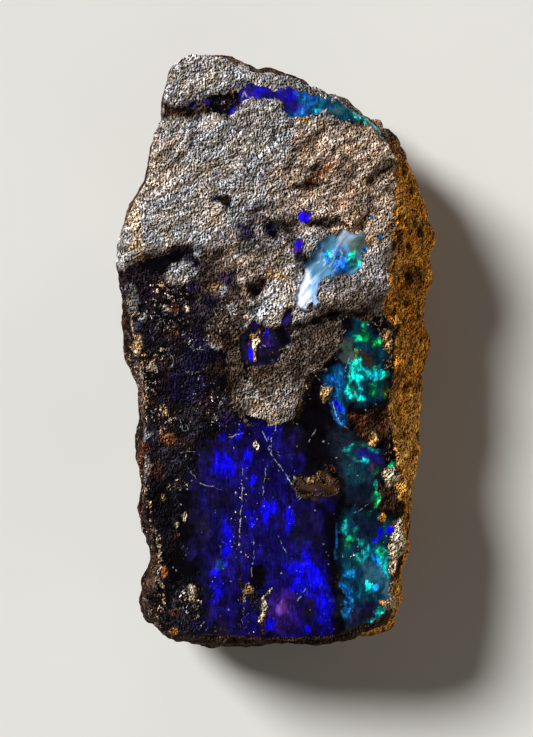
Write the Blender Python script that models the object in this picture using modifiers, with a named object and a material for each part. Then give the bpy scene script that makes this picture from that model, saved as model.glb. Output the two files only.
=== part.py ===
"""A rough boulder opal, lying on its back: one solid stone about 46 mm long.

Run it with: blender --background --python part.py

The stone rests on the flat of its underside at z = 0. Its sandy, narrower end is towards +Y, and
the face with the opal looks up. Lengths are in millimetres until the mesh is written in metres.
"""
import itertools

import bmesh
import bpy
import numpy as np

NAME = "boulder_opal"
METRE = 0.001

# Driving dimensions
HEIGHT = 13.4
WIDEST_LEVEL = 5.0
TOP_EDGE_ROUNDING = 0.9
BASE_EDGE_ROUNDING = 1.6
FACET_ROUNDING = 0.6
INSET_BLEND = 0.45
UPPER_SIDE_POWER = 1.15
LOWER_SIDE_POWER = 1.6
BLOCK_VOXEL = 0.8
STONE_VOXEL = 0.42
FACE_TARGET = 7600
MERGE_DISTANCE = 0.02
LEVEL_BAND = 0.03

# The outline at the widest level, clockwise from the sandy end: x, y, then how far inside it
# the edge of the upper face lies, and the edge of the underside.
OUTLINE = (
    (-8.3, 22.0, 0.8, 1.6), (-6.7, 22.8, 0.9, 1.8), (-5.2, 23.1, 0.9, 2.0),
    (-3.6, 22.8, 1.0, 2.0), (-1.7, 21.8, 1.0, 1.8), (-0.9, 21.9, 1.0, 1.8),
    (1.9, 21.1, 0.9, 1.6), (4.8, 19.8, 0.9, 1.5), (5.9, 18.9, 0.9, 1.5),
    (7.9, 17.4, 0.9, 1.5), (9.0, 16.1, 0.9, 1.6), (11.1, 13.3, 2.8, 1.8),
    (12.9, 10.7, 4.9, 2.2), (13.3, 8.2, 5.4, 2.4), (12.7, 6.4, 5.4, 2.2),
    (12.1, 4.0, 5.2, 2.0), (11.8, 2.2, 4.1, 2.0), (12.1, 1.6, 3.9, 2.0),
    (12.1, 0.4, 3.8, 2.0), (11.5, -2.0, 3.4, 1.8), (11.2, -5.5, 3.0, 1.8),
    (10.9, -9.0, 2.4, 1.6), (10.6, -11.2, 1.9, 1.5), (10.2, -12.6, 1.2, 1.5),
    (9.8, -15.6, 0.8, 1.3), (9.3, -18.0, 0.6, 1.2), (9.4, -19.3, 0.6, 1.2),
    (8.5, -21.3, 0.7, 1.4), (7.4, -22.0, 0.8, 1.5), (4.0, -22.6, 0.7, 1.6),
    (-1.7, -22.9, 0.7, 1.6), (-6.5, -22.8, 0.8, 1.6), (-8.6, -22.2, 0.9, 1.5),
    (-10.4, -20.7, 1.4, 1.4), (-10.8, -19.4, 1.5, 1.3), (-10.7, -17.8, 1.4, 1.3),
    (-10.3, -16.1, 1.1, 1.3), (-10.8, -14.0, 1.0, 1.4), (-11.1, -12.6, 0.8, 1.5),
    (-11.0, -9.6, 0.7, 1.5), (-11.1, -6.9, 0.6, 1.6), (-10.9, -4.8, 0.6, 1.6),
    (-11.1, -2.8, 0.7, 1.7), (-11.9, -1.1, 0.9, 1.8), (-12.1, 1.5, 0.8, 2.0),
    (-12.4, 4.0, 0.7, 2.0), (-12.7, 7.8, 0.7, 2.2), (-12.3, 9.4, 0.7, 2.0),
    (-11.4, 11.4, 0.8, 1.8), (-10.5, 13.2, 0.7, 1.7), (-9.8, 15.9, 0.5, 1.6),
    (-9.3, 17.6, 0.5, 1.6), (-9.1, 19.2, 0.5, 1.6), (-8.7, 20.9, 0.5, 1.6),
)

# The broad facets of the upper face: height at the stone's middle, slope along x, slope along y.
FACETS = {
    "sandy end": (13.3, -0.030, -0.012),
    "opal field": (13.1, 0.0, 0.045),
    "left flank": (14.6, 0.20, 0.04),
    "right flank": (14.3, -0.27, 0.03),
    "lower bevel": (25.3, 0.0, 0.62),
    "sandy bevel": (23.2, -0.06, -0.45),
}

# The layer of sandstone that stands proud of the opal, down to its broken lower edge.
CRUST_HEIGHT = 0.45
CRUST_EDGE = 0.35
CRUST = (
    (-13.5, 24.0), (-13.5, 6.3), (-11.7, 6.3), (-10.6, 7.1), (-8.6, 7.5), (-7.6, 8.0),
    (-5.7, 7.7), (-5.4, 6.7), (-5.3, 5.2), (-4.1, 4.2), (-3.3, 2.7), (-2.5, 1.6),
    (0.7, 1.8), (2.7, 2.7), (4.1, 3.3), (5.2, 2.7), (7.7, 3.0), (13.9, 3.9), (13.9, 24.0),
)
SAND_TONGUE_HEIGHT = 0.14
SAND_TONGUE_EDGE = 0.8
SAND_TONGUE = (
    (0.8, 1.5), (1.8, 1.8), (4.1, 2.5), (4.9, 2.0), (4.4, 0.5), (4.1, -0.3), (3.2, -1.3),
    (2.6, -1.6), (2.0, -3.3), (1.5, -4.5), (0.8, -5.4), (-0.6, -5.6), (-1.9, -5.1),
    (-2.6, -4.6), (-2.8, -3.3), (-2.4, -2.0), (-1.6, -1.0), (-0.1, -0.7), (0.6, 0.1),
)
POTCH_BASIN_DEPTH = 0.34
POTCH_BASIN_EDGE = 0.8
POTCH_BASIN = (
    (2.4, -1.6), (3.2, -2.6), (3.9, -3.5), (4.2, -4.5), (5.1, -5.8), (4.9, -7.5),
    (3.5, -9.4), (1.0, -9.4), (0.8, -7.5), (1.0, -5.0), (1.5, -3.7), (2.1, -2.3),
)
VEIN_DEPTH = 0.30
VEIN = (
    (-8.8, 18.2), (-7.2, 18.1), (-6.5, 19.1), (-2.9, 20.1), (0.3, 20.0), (3.3, 18.9),
    (5.6, 18.1), (7.6, 17.3), (6.8, 16.9), (5.2, 17.5), (3.5, 18.2), (0.9, 17.5),
    (0.3, 18.8), (-2.5, 19.4), (-3.3, 17.7), (-5.3, 17.3), (-8.8, 17.3),
)

# Rounded lumps and hollows of the upper face: x, y, half length along x and y, height.
LUMPS = (
    (5.6, 4.4, 2.2, 1.4, 0.55), (-7.4, 6.0, 1.6, 0.8, 0.16), (8.6, -9.4, 0.7, 0.6, 0.35),
    (8.4, 0.9, 0.7, 0.8, 0.30), (9.3, -14.0, 0.8, 1.8, 0.35), (3.0, -10.3, 2.0, 0.7, 0.30),
    (-10.6, 0.3, 0.8, 1.4, 0.30), (-8.3, -5.7, 1.1, 1.2, 0.28), (-6.3, -18.8, 1.5, 1.4, 0.18),
    (-9.6, 2.9, 1.5, 1.2, -0.25), (-1.6, 4.5, 1.1, 1.0, -0.65), (-0.2, 9.4, 1.3, 0.8, -0.35),
    (-6.3, 4.7, 0.8, 0.7, -0.35), (-4.5, 11.4, 0.8, 0.5, -0.35), (-3.9, -13.5, 1.2, 3.5, -0.25),
    (6.6, -6.3, 1.6, 1.0, -0.25), (-1.5, -16.9, 0.9, 1.1, -0.14), (4.0, -12.1, 0.9, 1.1, -0.14),
    (-6.5, -12.0, 1.6, 2.4, -0.25), (5.9, -18.0, 1.2, 2.2, -0.20),
)

# Grooves and cracks of the upper face: depth, half width, then the points that each runs through.
GROOVES = (
    (0.34, 0.80, (4.4, 14.6), (3.5, 14.0), (2.5, 13.1)),
    (0.36, 0.65, (2.9, 12.8), (2.0, 12.2), (1.2, 12.2)),
    (0.34, 0.75, (9.2, 14.2), (8.1, 13.6), (7.0, 12.8)),
    (0.40, 0.70, (-0.4, 9.3), (1.8, 9.2), (4.5, 9.8)),
    (0.32, 0.55, (-1.0, 8.4), (-2.4, 7.5), (-4.2, 6.3)),
    (0.20, 0.60, (1.2, 14.5), (0.5, 12.2), (0.3, 10.7)),
    (0.24, 0.90, (4.8, 9.4), (3.4, 7.4)),
    (0.45, 0.85, (2.7, 6.8), (1.6, 5.9), (1.2, 4.0)),
    (-0.24, 1.00, (6.2, 8.6), (4.9, 6.6)),
    (-0.42, 0.90, (4.2, 5.9), (3.0, 4.8), (2.8, 3.6)),
    (0.14, 0.70, (-1.0, -6.1), (-0.6, -7.7), (0.5, -9.4), (1.2, -10.8)),
    (0.16, 1.10, (4.7, -8.5), (5.0, -12.0), (4.9, -16.0), (5.0, -20.5)),
    (0.14, 1.20, (-9.2, -7.9), (-8.0, -10.5), (-8.4, -13.5), (-7.8, -17.5)),
)

# Broken faces that cut the edges off: the way each one faces, then a point that it goes through.
CHIPS = (
    ((-0.80, 0.10, -0.60), (-10.2, 2.0, 1.4)),
    ((-0.74, -0.05, -0.67), (-9.6, -9.0, 1.2)),
    ((-0.72, 0.25, -0.65), (-9.3, 11.5, 1.5)),
    ((-0.60, -0.45, -0.66), (-8.4, -18.2, 1.2)),
    ((0.05, -0.85, -0.52), (2.0, -20.6, 1.1)),
    ((0.66, -0.40, -0.64), (6.9, -19.0, 1.2)),
    ((0.75, 0.10, -0.65), (9.1, -6.0, 1.3)),
    ((0.80, -0.10, -0.60), (9.6, 4.0, 1.6)),
    ((0.60, 0.50, -0.62), (8.3, 12.0, 1.4)),
    ((0.20, 0.78, -0.60), (1.0, 18.3, 1.4)),
    ((-0.25, 0.75, -0.61), (-6.5, 19.8, 1.5)),
    ((-0.78, 0.06, 0.62), (-11.9, 9.5, 12.4)),
    ((-0.60, -0.20, 0.77), (-10.3, -16.0, 11.6)),
    ((0.62, 0.52, 0.58), (8.1, 16.1, 12.2)),
    ((0.52, -0.50, 0.69), (7.6, -20.6, 11.0)),
    ((-0.66, 0.44, 0.60), (-8.4, 20.6, 12.8)),
)
CHIP_ROUNDING = 0.5

# Rough walls: beds of sandstone that run along the stone, lumps, and the hollowed underside.
BED_THICKNESS = 1.5
BED_DEPTH = 0.34
WALL_LUMP_SIZE = 5.2
WALL_LUMP_HEIGHT = 0.60
WALL_KNOB_SIZE = 2.3
WALL_KNOB_HEIGHT = 0.34
WALL_SETBACK = 0.20
PROUD_SHARE = 0.25
TOP_LUMP_SIZE = 1.7
TOP_LUMP_HEIGHT = 0.16
REST_PATCH = (5.5, 12.5)
UNDERSIDE_HOLLOW = 0.8
LONGEST_MOVE = 1.2
IRONSTONE_COLOUR = (0.075, 0.055, 0.045, 1.0)
IRONSTONE_ROUGHNESS = 0.7


def lattice_noise(points, size, seed):
    """Smooth random values between -1 and 1 that change over about `size` millimetres."""
    cell = points / size
    corner = np.floor(cell).astype(np.int64)
    part = cell - corner
    part = part * part * (3.0 - 2.0 * part)
    total = np.zeros(len(points))
    for step in itertools.product((0, 1), repeat=3):
        key = (corner + step) @ np.array((73856093, 19349663, 83492791)) + seed * 9176131
        key = (key ^ (key >> 13)) * 1274126177
        value = ((key >> 16) & 65535) / 32767.5 - 1.0
        total += value * np.prod(np.where(step, part, 1.0 - part), axis=1)
    return total


def smooth_step(low, high, value):
    """0 below low, 1 above high, and a smooth rise between them."""
    part = np.clip((value - low) / (high - low), 0.0, 1.0)
    return part * part * (3.0 - 2.0 * part)


def soft_max(first, second, rounding):
    """The larger of two fields, with a rounded edge where they meet."""
    near = np.maximum(rounding - np.abs(first - second), 0.0)
    return np.maximum(first, second) + near * near / (4.0 * rounding)


def segment_distance(x, y, start, end):
    """Distance to a straight segment, and how far along it the nearest point is, from 0 to 1."""
    along_x = end[0] - start[0]
    along_y = end[1] - start[1]
    length_squared = along_x * along_x + along_y * along_y
    part = ((x - start[0]) * along_x + (y - start[1]) * along_y) / length_squared
    part = np.clip(part, 0.0, 1.0)
    return np.hypot(x - start[0] - part * along_x, y - start[1] - part * along_y), part


def region_distance(x, y, corners):
    """Signed distance to a closed outline, below zero inside it."""
    distance = np.full(x.shape, np.inf)
    inside = np.zeros(x.shape, dtype=bool)
    for start, end in zip(corners, corners[1:] + corners[:1]):
        distance = np.minimum(distance, segment_distance(x, y, start, end)[0])
        crosses = (start[1] > y) != (end[1] > y)
        rise = (end[1] - start[1]) or 1.0
        inside ^= crosses & (x < start[0] + (end[0] - start[0]) * (y - start[1]) / rise)
    return np.where(inside, -distance, distance)


def inside_region(x, y, corners, edge):
    """1 inside a closed outline and 0 outside it, over a soft edge."""
    return smooth_step(edge, -edge, region_distance(x, y, corners))


def edge_insets(x, y):
    """The insets of the upper and lower edges, blended from the stretches of outline nearby."""
    top_sum = base_sum = weight_sum = 0.0
    for start, end in zip(OUTLINE, OUTLINE[1:] + OUTLINE[:1]):
        distance, part = segment_distance(x, y, start, end)
        weight = np.exp(-distance / INSET_BLEND) + 1e-12
        top_sum = top_sum + weight * (start[2] + part * (end[2] - start[2]))
        base_sum = base_sum + weight * (start[3] + part * (end[3] - start[3]))
        weight_sum = weight_sum + weight
    return top_sum / weight_sum, base_sum / weight_sum


def top_height(x, y):
    """Height of the upper face before its ledges, pits and lumps."""
    height = np.full(x.shape, -100.0)
    for middle_height, slope_x, slope_y in FACETS.values():
        height = soft_max(height, -(middle_height + slope_x * x + slope_y * y), FACET_ROUNDING)
    return -height


def stone_field(points):
    """Signed field of the stone's broad form: below zero inside, zero on the surface."""
    x, y, z = points.T
    corners = tuple(point[:2] for point in OUTLINE)
    top_inset, base_inset = edge_insets(x, y)
    above = np.clip((z - WIDEST_LEVEL) / (HEIGHT - WIDEST_LEVEL), 0.0, 1.3)
    below = np.clip((WIDEST_LEVEL - z) / WIDEST_LEVEL, 0.0, 1.3)
    side = region_distance(x, y, corners) + top_inset * above ** UPPER_SIDE_POWER
    side = side + base_inset * below ** LOWER_SIDE_POWER
    field = soft_max(side, z - top_height(x, y), TOP_EDGE_ROUNDING)
    for facing, through in CHIPS:
        field = soft_max(field, (points - through) @ np.array(facing), CHIP_ROUNDING)
    return soft_max(field, -z, BASE_EDGE_ROUNDING)


def field_gradient(points):
    """Direction of the field, which is the outward direction at the surface."""
    step = 0.05
    columns = []
    for axis in np.eye(3):
        columns.append(stone_field(points + step * axis) - stone_field(points - step * axis))
    return np.stack(columns, axis=1) / (2.0 * step)


def settle_on_field(points, rounds):
    """Move points onto the surface of the stone's broad form."""
    for _ in range(rounds):
        gradient = field_gradient(points)
        size = np.maximum(np.einsum("ij,ij->i", gradient, gradient), 0.2)
        move = gradient * (stone_field(points) / size)[:, None]
        length = np.linalg.norm(move, axis=1, keepdims=True)
        points = points - move * np.minimum(1.0, LONGEST_MOVE / np.maximum(length, 1e-9))
    return points


def top_relief(x, y):
    """Ledges, lumps, pits and grooves of the upper face."""
    relief = CRUST_HEIGHT * inside_region(x, y, CRUST, CRUST_EDGE)
    relief += SAND_TONGUE_HEIGHT * inside_region(x, y, SAND_TONGUE, SAND_TONGUE_EDGE)
    relief -= POTCH_BASIN_DEPTH * inside_region(x, y, POTCH_BASIN, POTCH_BASIN_EDGE)
    relief -= VEIN_DEPTH * inside_region(x, y, VEIN, CRUST_EDGE)
    for centre_x, centre_y, half_x, half_y, height in LUMPS:
        reach = np.hypot((x - centre_x) / half_x, (y - centre_y) / half_y)
        relief += height * smooth_step(1.3, 0.2, reach)
    for depth, half_width, *route in GROOVES:
        nearest = np.full(x.shape, np.inf)
        for start, end in zip(route, route[1:]):
            nearest = np.minimum(nearest, segment_distance(x, y, start, end)[0])
        relief -= depth * smooth_step(half_width, 0.0, nearest)
    return relief


def wall_relief(points):
    """Beds that run along the stone with broken ledges between them, and creased lumps."""
    level = points[:, 2] + 1.2 * lattice_noise(points, 8.0, 5)
    beds = np.stack((points[:, 0] * 0.16, points[:, 1] * 0.13, level), axis=1)
    relief = BED_DEPTH * np.tanh(3.0 * lattice_noise(beds, BED_THICKNESS, 8))
    relief += WALL_LUMP_HEIGHT * lattice_noise(points, WALL_LUMP_SIZE, 2)
    knobs = np.abs(lattice_noise(points, WALL_KNOB_SIZE, 4))
    relief += WALL_KNOB_HEIGHT * (2.0 * knobs - 0.5) - WALL_SETBACK
    away = smooth_step(0.3, 2.6, np.abs(points[:, 2] - WIDEST_LEVEL))
    return np.where(relief > 0.0, PROUD_SHARE, 0.3 + 0.7 * away) * relief


def underside_relief(points):
    """Shallow hollows around the flat patch that the stone rests on."""
    reach = np.hypot(points[:, 0] / REST_PATCH[0], points[:, 1] / REST_PATCH[1])
    hollow = 0.5 + 0.5 * lattice_noise(points, 3.2, 11)
    return -UNDERSIDE_HOLLOW * hollow * smooth_step(0.95, 1.35, reach)


def roughen(points):
    """Add the relief of the face that each point belongs to."""
    outward = field_gradient(points)
    outward /= np.linalg.norm(outward, axis=1, keepdims=True)
    facing_up = smooth_step(0.35, 0.75, outward[:, 2])
    facing_down = smooth_step(0.35, 0.85, -outward[:, 2])
    sideways = 1.0 - facing_up - facing_down
    relief = facing_up * top_relief(points[:, 0], points[:, 1])
    relief += facing_up * TOP_LUMP_HEIGHT * lattice_noise(points, TOP_LUMP_SIZE, 3)
    relief += sideways * wall_relief(points) + facing_down * underside_relief(points)
    return points + outward * relief[:, None]


def outline_block():
    """The outline as a flat curve, thickened to a plain block of the stone's height."""
    curve = bpy.data.curves.new("outline", "CURVE")
    curve.dimensions = "2D"
    curve.fill_mode = "BOTH"
    curve.extrude = METRE * HEIGHT / 2.0
    line = curve.splines.new("POLY")
    line.points.add(len(OUTLINE) - 1)
    for point, corner in zip(line.points, OUTLINE):
        point.co = (METRE * corner[0], METRE * corner[1], METRE * HEIGHT / 2.0, 1.0)
    line.use_cyclic_u = True
    block = bpy.data.objects.new("outline", curve)
    bpy.context.collection.objects.link(block)
    bpy.context.view_layer.update()
    mesh = bpy.data.meshes.new_from_object(block.evaluated_get(bpy.context.evaluated_depsgraph_get()))
    bpy.data.objects.remove(block)
    return mesh


def with_modifier(mesh, kind, **settings):
    """The mesh after one modifier, as a new mesh."""
    holder = bpy.data.objects.new("holder", mesh)
    bpy.context.collection.objects.link(holder)
    modifier = holder.modifiers.new(kind, kind)
    for setting, value in settings.items():
        setattr(modifier, setting, value)
    bpy.context.view_layer.update()
    graph = bpy.context.evaluated_depsgraph_get()
    result = bpy.data.meshes.new_from_object(holder.evaluated_get(graph))
    bpy.data.objects.remove(holder)
    return result


def reshape(mesh, change):
    """Pass the mesh's points, in millimetres, through a function that moves them."""
    points = np.empty(3 * len(mesh.vertices))
    mesh.vertices.foreach_get("co", points)
    points = change(points.reshape(-1, 3) / METRE)
    mesh.vertices.foreach_set("co", (points * METRE).ravel())
    mesh.update()


def rest_and_centre(points):
    """Level the resting patch at z = 0 and centre the stone's box over the origin."""
    points[:, 2] = np.where(points[:, 2] < LEVEL_BAND, 0.0, points[:, 2])
    middle = (points.min(axis=0) + points.max(axis=0)) / 2.0
    return points - (middle[0], middle[1], 0.0)


def close_mesh(mesh):
    """Triangles only, with no slivers or doubled points, facing outward."""
    edit = bmesh.new()
    edit.from_mesh(mesh)
    bmesh.ops.remove_doubles(edit, verts=edit.verts, dist=MERGE_DISTANCE * METRE)
    bmesh.ops.triangulate(edit, faces=edit.faces)
    bmesh.ops.recalc_face_normals(edit, faces=edit.faces)
    edit.to_mesh(mesh)
    edit.free()


def stone_mesh():
    """The whole stone, from a plain block to the rough solid."""
    mesh = outline_block()
    mesh = with_modifier(mesh, "REMESH", mode="VOXEL", voxel_size=METRE * BLOCK_VOXEL)
    reshape(mesh, lambda points: settle_on_field(points, 6))
    mesh = with_modifier(mesh, "REMESH", mode="VOXEL", voxel_size=METRE * STONE_VOXEL)
    reshape(mesh, lambda points: roughen(settle_on_field(points, 3)))
    triangles = 2.0 * len(mesh.polygons)
    mesh = with_modifier(mesh, "DECIMATE", ratio=FACE_TARGET / triangles)
    reshape(mesh, rest_and_centre)
    close_mesh(mesh)
    return mesh


def ironstone_material():
    """Dark brown-grey sandy ironstone, the colour of most of the stone."""
    material = bpy.data.materials.new(NAME)
    material.use_nodes = True
    finish = material.node_tree.nodes["Principled BSDF"]
    finish.inputs["Base Color"].default_value = IRONSTONE_COLOUR
    finish.inputs["Roughness"].default_value = IRONSTONE_ROUGHNESS
    finish.inputs["Metallic"].default_value = 0.0
    material.diffuse_color = IRONSTONE_COLOUR
    return material


def main():
    for thing in list(bpy.data.objects):
        bpy.data.objects.remove(thing)
    collection = bpy.data.collections.new(NAME)
    bpy.context.scene.collection.children.link(collection)
    mesh = stone_mesh()
    mesh.name = NAME
    mesh.materials.clear()
    mesh.materials.append(ironstone_material())
    stone = bpy.data.objects.new(NAME, mesh)
    collection.objects.link(stone)


main()
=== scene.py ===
"""The looks of the rough boulder opal: its grained crust, glossy dark opal and play of colour."""
import itertools

import bmesh
import bpy
import numpy as np
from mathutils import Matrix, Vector


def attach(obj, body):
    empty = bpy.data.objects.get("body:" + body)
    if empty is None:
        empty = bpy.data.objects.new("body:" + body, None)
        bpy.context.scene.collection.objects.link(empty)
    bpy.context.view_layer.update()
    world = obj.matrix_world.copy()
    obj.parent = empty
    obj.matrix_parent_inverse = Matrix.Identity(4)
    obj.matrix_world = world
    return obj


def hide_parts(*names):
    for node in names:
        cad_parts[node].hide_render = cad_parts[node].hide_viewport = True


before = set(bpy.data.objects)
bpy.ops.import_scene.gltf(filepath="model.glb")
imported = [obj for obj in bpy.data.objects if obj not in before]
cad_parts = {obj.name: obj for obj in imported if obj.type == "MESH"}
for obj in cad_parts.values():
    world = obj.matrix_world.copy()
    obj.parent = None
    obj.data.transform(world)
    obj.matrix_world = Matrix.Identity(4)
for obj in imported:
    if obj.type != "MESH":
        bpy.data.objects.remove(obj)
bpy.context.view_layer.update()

NODE = "boulder_opal"
METRE = 0.001

# ---------------------------------------------------------------- the stone's form, in millimetres
HEIGHT = 13.4
WIDEST_LEVEL = 5.0
TOP_EDGE_ROUNDING = 0.9
BASE_EDGE_ROUNDING = 1.6
FACET_ROUNDING = 0.6
INSET_BLEND = 0.45
UPPER_SIDE_POWER = 1.15
LOWER_SIDE_POWER = 1.6

# The outline at the widest level, clockwise from the sandy end: x, y, then how far inside it
# the edge of the upper face lies, and the edge of the underside.
OUTLINE = (
    (-8.3, 22.0, 0.8, 1.6), (-6.7, 22.8, 0.9, 1.8), (-5.2, 23.1, 0.9, 2.0),
    (-3.6, 22.8, 1.0, 2.0), (-1.7, 21.8, 1.0, 1.8), (-0.9, 21.9, 1.0, 1.8),
    (1.9, 21.1, 0.9, 1.6), (4.8, 19.8, 0.9, 1.5), (5.9, 18.9, 0.9, 1.5),
    (7.9, 17.4, 0.9, 1.5), (9.0, 16.1, 0.9, 1.6), (11.1, 13.3, 2.8, 1.8),
    (12.9, 10.7, 4.9, 2.2), (13.3, 8.2, 5.4, 2.4), (12.7, 6.4, 5.4, 2.2),
    (12.1, 4.0, 5.2, 2.0), (11.8, 2.2, 4.1, 2.0), (12.1, 1.6, 3.9, 2.0),
    (12.1, 0.4, 3.8, 2.0), (11.5, -2.0, 3.4, 1.8), (11.2, -5.5, 3.0, 1.8),
    (10.9, -9.0, 2.4, 1.6), (10.6, -11.2, 1.9, 1.5), (10.2, -12.6, 1.2, 1.5),
    (9.8, -15.6, 0.8, 1.3), (9.3, -18.0, 0.6, 1.2), (9.4, -19.3, 0.6, 1.2),
    (8.5, -21.3, 0.7, 1.4), (7.4, -22.0, 0.8, 1.5), (4.0, -22.6, 0.7, 1.6),
    (-1.7, -22.9, 0.7, 1.6), (-6.5, -22.8, 0.8, 1.6), (-8.6, -22.2, 0.9, 1.5),
    (-10.4, -20.7, 1.4, 1.4), (-10.8, -19.4, 1.5, 1.3), (-10.7, -17.8, 1.4, 1.3),
    (-10.3, -16.1, 1.1, 1.3), (-10.8, -14.0, 1.0, 1.4), (-11.1, -12.6, 0.8, 1.5),
    (-11.0, -9.6, 0.7, 1.5), (-11.1, -6.9, 0.6, 1.6), (-10.9, -4.8, 0.6, 1.6),
    (-11.1, -2.8, 0.7, 1.7), (-11.9, -1.1, 0.9, 1.8), (-12.1, 1.5, 0.8, 2.0),
    (-12.4, 4.0, 0.7, 2.0), (-12.7, 7.8, 0.7, 2.2), (-12.3, 9.4, 0.7, 2.0),
    (-11.4, 11.4, 0.8, 1.8), (-10.5, 13.2, 0.7, 1.7), (-9.8, 15.9, 0.5, 1.6),
    (-9.3, 17.6, 0.5, 1.6), (-9.1, 19.2, 0.5, 1.6), (-8.7, 20.9, 0.5, 1.6),
)

# The broad facets of the upper face: height at the stone's middle, slope along x, slope along y.
FACETS = {
    "sandy end": (13.3, -0.030, -0.012),
    "opal field": (13.1, 0.0, 0.045),
    "left flank": (14.6, 0.20, 0.04),
    "right flank": (14.3, -0.27, 0.03),
    "lower bevel": (25.3, 0.0, 0.62),
    "sandy bevel": (23.2, -0.06, -0.45),
}

# The layer of sandstone that stands proud of the opal, down to its broken lower edge.
CRUST_HEIGHT = 0.45
CRUST_EDGE = 0.35
CRUST = (
    (-13.5, 24.0), (-13.5, 6.3), (-11.7, 6.3), (-10.6, 7.1), (-8.6, 7.5), (-7.6, 8.0),
    (-5.7, 7.7), (-5.4, 6.7), (-5.3, 5.2), (-4.1, 4.2), (-3.3, 2.7), (-2.5, 1.6),
    (0.7, 1.8), (2.7, 2.7), (4.1, 3.3), (5.2, 2.7), (7.7, 3.0), (13.9, 3.9), (13.9, 24.0),
)
SAND_TONGUE_HEIGHT = 0.14
SAND_TONGUE_EDGE = 0.8
SAND_TONGUE = (
    (0.8, 1.5), (1.8, 1.8), (4.1, 2.5), (4.9, 2.0), (4.4, 0.5), (4.1, -0.3), (3.2, -1.3),
    (2.6, -1.6), (2.0, -3.3), (1.5, -4.5), (0.8, -5.4), (-0.6, -5.6), (-1.9, -5.1),
    (-2.6, -4.6), (-2.8, -3.3), (-2.4, -2.0), (-1.6, -1.0), (-0.1, -0.7), (0.6, 0.1),
)
POTCH_BASIN_DEPTH = 0.34
POTCH_BASIN_EDGE = 0.8
POTCH_BASIN = (
    (2.4, -1.6), (3.2, -2.6), (3.9, -3.5), (4.2, -4.5), (5.1, -5.8), (4.9, -7.5),
    (3.5, -9.4), (1.0, -9.4), (0.8, -7.5), (1.0, -5.0), (1.5, -3.7), (2.1, -2.3),
)
VEIN_DEPTH = 0.30
VEIN = (
    (-8.8, 18.2), (-7.2, 18.1), (-6.5, 19.1), (-2.9, 20.1), (0.3, 20.0), (3.3, 18.9),
    (5.6, 18.1), (7.6, 17.3), (6.8, 16.9), (5.2, 17.5), (3.5, 18.2), (0.9, 17.5),
    (0.3, 18.8), (-2.5, 19.4), (-3.3, 17.7), (-5.3, 17.3), (-8.8, 17.3),
)

# Rounded lumps and hollows of the upper face: x, y, half length along x and y, height.
LUMPS = (
    (5.6, 4.4, 2.2, 1.4, 0.55), (-7.4, 6.0, 1.6, 0.8, 0.16), (8.6, -9.4, 0.7, 0.6, 0.35),
    (8.4, 0.9, 0.7, 0.8, 0.30), (9.3, -14.0, 0.8, 1.8, 0.35), (3.0, -10.3, 2.0, 0.7, 0.30),
    (-10.6, 0.3, 0.8, 1.4, 0.30), (-8.3, -5.7, 1.1, 1.2, 0.28), (-6.3, -18.8, 1.5, 1.4, 0.18),
    (-9.6, 2.9, 1.5, 1.2, -0.25), (-1.6, 4.5, 1.1, 1.0, -0.65), (-0.2, 9.4, 1.3, 0.8, -0.35),
    (-6.3, 4.7, 0.8, 0.7, -0.35), (-4.5, 11.4, 0.8, 0.5, -0.35), (-3.9, -13.5, 1.2, 3.5, -0.25),
    (6.6, -6.3, 1.6, 1.0, -0.25), (-1.5, -16.9, 0.9, 1.1, -0.14), (4.0, -12.1, 0.9, 1.1, -0.14),
    (-6.5, -12.0, 1.6, 2.4, -0.25), (5.9, -18.0, 1.2, 2.2, -0.20),
)

# Grooves and cracks of the upper face: depth, half width, then the points that each runs through.
GROOVES = (
    (0.34, 0.80, (4.4, 14.6), (3.5, 14.0), (2.5, 13.1)),
    (0.36, 0.65, (2.9, 12.8), (2.0, 12.2), (1.2, 12.2)),
    (0.34, 0.75, (9.2, 14.2), (8.1, 13.6), (7.0, 12.8)),
    (0.40, 0.70, (-0.4, 9.3), (1.8, 9.2), (4.5, 9.8)),
    (0.32, 0.55, (-1.0, 8.4), (-2.4, 7.5), (-4.2, 6.3)),
    (0.20, 0.60, (1.2, 14.5), (0.5, 12.2), (0.3, 10.7)),
    (0.24, 0.90, (4.8, 9.4), (3.4, 7.4)),
    (0.45, 0.85, (2.7, 6.8), (1.6, 5.9), (1.2, 4.0)),
    (-0.24, 1.00, (6.2, 8.6), (4.9, 6.6)),
    (-0.42, 0.90, (4.2, 5.9), (3.0, 4.8), (2.8, 3.6)),
    (0.14, 0.70, (-1.0, -6.1), (-0.6, -7.7), (0.5, -9.4), (1.2, -10.8)),
    (0.16, 1.10, (4.7, -8.5), (5.0, -12.0), (4.9, -16.0), (5.0, -20.5)),
    (0.14, 1.20, (-9.2, -7.9), (-8.0, -10.5), (-8.4, -13.5), (-7.8, -17.5)),
)

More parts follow.
